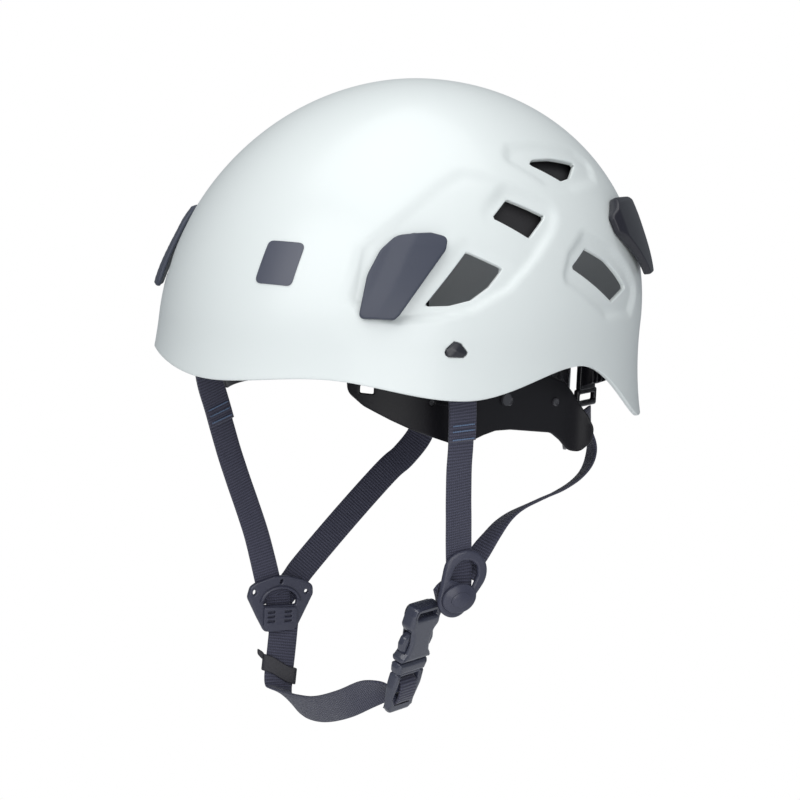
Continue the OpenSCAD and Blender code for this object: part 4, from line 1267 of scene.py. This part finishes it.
def build_liner():
    """Foam liner in the crown of the shell, grooved inside between the vents."""
    cols = 216
    angles = np.linspace(-180, 180, cols, endpoint=False)
    heights = [44 + k * 2.5 for k in range(4)] + list(HIGH * np.sin(np.radians(np.linspace(27, 88, 30))))
    heights = sorted(set(round(float(h), 3) for h in heights))
    verts = []
    for inset in (6.6, 20.6):
        top = HIGH - inset
        for n, h in enumerate(heights):
            z = min(44 + (h - 44) * (top * 0.9993 - 44) / (heights[-1] - 44), top * 0.9993)
            groove = 3.5 * np.exp(-((np.mod(angles + 15, 30) - 15) / 3.2) ** 2)
            groove = groove * ease((z - 48) / 12) * ease((112 - z) / 12)
            p = dome(angles, np.full(cols, z), inset)
            if inset > 10:
                out = p - vec(0, 0, z * 0.5)
                p = p + out / np.linalg.norm(out, axis=1, keepdims=True) * groove[:, None]
            if n == 0:
                p = p + vec(0, 0, 1.2)
            verts.append(p)
    verts = np.concatenate(verts)
    rows = len(heights)
    base, top = rows * cols, (rows - 1) * cols
    faces = ring_faces(rows, cols) + [f[::-1] for f in ring_faces(rows, cols, base)]
    for i in range(cols):
        k = (i + 1) % cols
        faces.append([k, i, base + i, base + k])
    faces.append([top + i for i in range(cols)])
    faces.append([base + top + i for i in range(cols)][::-1])
    add_piece("foam_liner", (verts, faces), LINER_BLACK, "helmet", "crown_liner", 40)


def quilted(part, pitch, depth):
    """Presses stitched valleys into a pad's faces at even steps along X."""
    verts, faces = part
    verts = verts.copy()
    verts[:, 2] *= 1 - depth * np.exp(-((np.mod(verts[:, 0] + pitch / 2, pitch) - pitch / 2) / 1.3) ** 2)
    return verts, faces


PAD_R, PAD_INSET = 72.7, 23.7


def add_pad(name, points, faces, body, node):
    piece = add_piece(name, (points, faces), PAD_BLACK, body, node, mend=True)


def build_pads():
    half = PAD_R * math.radians(49)
    outline = box_outline(-half, -14.6, half, 1.6, 5, 6, 2.5)
    verts, faces = quilted(slab(outline, thick=4.0, edge=1.9, segments=4, slices=(1.6, 3)), 20.0, 0.35)
    a = verts[:, 0] / PAD_R - math.pi / 2
    r = PAD_R + verts[:, 2]
    points = np.stack([r * np.cos(a), BAND_Y + r * np.sin(a), verts[:, 1]], -1)
    add_pad("brow_cushion", points, faces, "helmet", "brow_pad")

    outline = box_outline(-20.8, -15.8, 20.8, 15.8, 6, 6, 2.5)
    verts, faces = quilted(slab(outline, thick=4.0, edge=1.9, segments=4, slices=(1.6, 1.6)), 14.0, 0.35)
    points = np.stack([verts[:, 0], 90.05 - verts[:, 2], DIAL_Z + verts[:, 1]], -1)
    add_pad("nape_cushion", points, faces, "nape_cradle", "cradle_pad")

    verts, faces = slab(ellipse(0, 0, 66, 76, 64), thick=4.6, edge=2.2, segments=4, slices=(4, 4))
    ring = np.sqrt((verts[:, 0] / 66) ** 2 + (verts[:, 1] / 76) ** 2)
    verts[:, 2] *= 1 - 0.4 * np.exp(-((ring - 0.62) / 0.03) ** 2)
    turn = np.arctan2(verts[:, 1] / 76, verts[:, 0] / 66)
    top = HIGH - PAD_INSET
    z = top * np.cos(np.radians(38) * np.clip(ring, 0, 1)) - 0.4
    scale = np.sqrt(1 - np.clip(z / top, 0, 1) ** 2)
    x = (HALF_W - PAD_INSET) * np.cos(turn) * scale
    length = np.where(np.sin(turn) > 0, REAR, FRONT) - PAD_INSET
    mid = np.stack([x, length * np.sin(turn) * scale + LEAN * z, z], -1)
    out = mid - vec(0, 0, 20)
    points = mid + out / np.linalg.norm(out, axis=1, keepdims=True) * verts[:, 2:3]
    add_pad("crown_cushion", points, faces, "helmet", "crown_pad")


def dress(node, material, width):
    """Keeps a CAD node's own mesh, with rounded edges and a procedural finish."""
    obj = NODES[node]
    if not obj.material_slots:
        obj.data.materials.append(material)
    for one in obj.material_slots:
        one.link = "OBJECT"
        one.material = material
    mod = obj.modifiers.new("Bevel", "BEVEL")
    mod.width = width * MM
    mod.segments = 2
    mod.limit_method = "ANGLE"
    mod.angle_limit = math.radians(35)
    mod.harden_normals = False


build_liner()
build_pads()
build_clips()
build_badge()
build_plugs()
build_panels()
build_rivets()
build_arms()
build_hangers()
build_left_yoke()
build_right_yoke()
prongs, buckle_x, prong_anchor = build_buckle()
build_loops()
build_keeper()
chin = build_straps()
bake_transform(chin)
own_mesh(prongs)

for node in ("brow_band", "band_posts"):
    dress(node, BAND_BLACK, 0.4)
dress("temple_pins", STUD_GREY, 0.4)
dress("cradle_housing", BAND_BLACK, 0.6)
dress("cradle_cover", BAND_BLACK, 0.8)
dress("dial", DIAL_BLACK, 0.4)

# ---------- camera, light, finish ----------

azimuth, elevation, roll, distance = 43.0, 7.0, 2.5, 1100.0
focal_px = 1.9 * distance
a, e, r = (math.radians(v) for v in (azimuth, elevation, roll))
back = vec(math.sin(a) * math.cos(e), -math.cos(a) * math.cos(e), math.sin(e))
side = vec(math.cos(a), math.sin(a), 0)
rise = np.cross(back, side)
cam_x = math.cos(r) * side + math.sin(r) * rise
cam_y = -math.sin(r) * side + math.cos(r) * rise
camera_data = bpy.data.cameras.new("camera")
camera = bpy.data.objects.new("camera", camera_data)
scene.collection.objects.link(camera)
rows = [[cam_x[k], cam_y[k], back[k], back[k] * distance * MM] for k in range(3)]
camera.matrix_world = Matrix(rows + [[0, 0, 0, 1]])
camera_data.sensor_width = 36
camera_data.lens = 36 * focal_px / 800
camera_data.shift_x = 3.0 / 800
camera_data.shift_y = -83.4 / 800
camera_data.clip_start = 0.05
scene.camera = camera


def area_light(name, position, target, size, power):
    light = bpy.data.lights.new(name, "AREA")
    light.shape = "RECTANGLE"
    light.size, light.size_y = size
    light.energy = power
    obj = bpy.data.objects.new(name, light)
    obj.location = position
    obj.rotation_euler = (Vector(target) - Vector(position)).to_track_quat("-Z", "Y").to_euler()
    scene.collection.objects.link(obj)


world = bpy.data.worlds.new("studio")
scene.world = world
world.use_nodes = True
tree = world.node_tree
tree.nodes.clear()
white = add_node(tree, "ShaderNodeBackground", {"Color": (1, 1, 1, 1)})
glow = add_node(tree, "ShaderNodeBackground", {"Color": (0.86, 0.93, 1.0, 1), "Strength": 0.25})
seen = add_node(tree, "ShaderNodeLightPath").outputs["Is Camera Ray"]
mix = add_node(tree, "ShaderNodeMixShader", {"Fac": seen, 1: glow.outputs[0], 2: white.outputs[0]})
add_node(tree, "ShaderNodeOutputWorld", {"Surface": mix.outputs["Shader"]})

area_light("key", (0.35, -1.5, 1.1), (0, 0, 0), (1.4, 1.4), 14)
area_light("fill", (1.5, -0.9, 0.3), (0, 0, -0.05), (1.2, 1.4), 11)
area_light("top", (0.1, 0.0, 1.6), (0, 0, 0), (1.6, 1.6), 14)

scene.view_settings.view_transform = "Standard"
scene.view_settings.look = "None"

FLOOR_HALF, FLOOR_Z = 30, -0.62
floor_mesh = bpy.data.meshes.new("floor")
corners = [(x * FLOOR_HALF, y * FLOOR_HALF, FLOOR_Z) for x, y in ((-1, -1), (1, -1), (1, 1), (-1, 1))]
floor_mesh.from_pydata(corners, [], [(0, 1, 2, 3)])
floor = bpy.data.objects.new("floor", floor_mesh)
scene.collection.objects.link(floor)
floor_mesh.materials.append(plastic("floor_pale", (0.93, 0.93, 0.94), 0.7, 0.05, 20.0, 0.0, vary=0.01))
floor.visible_camera = False
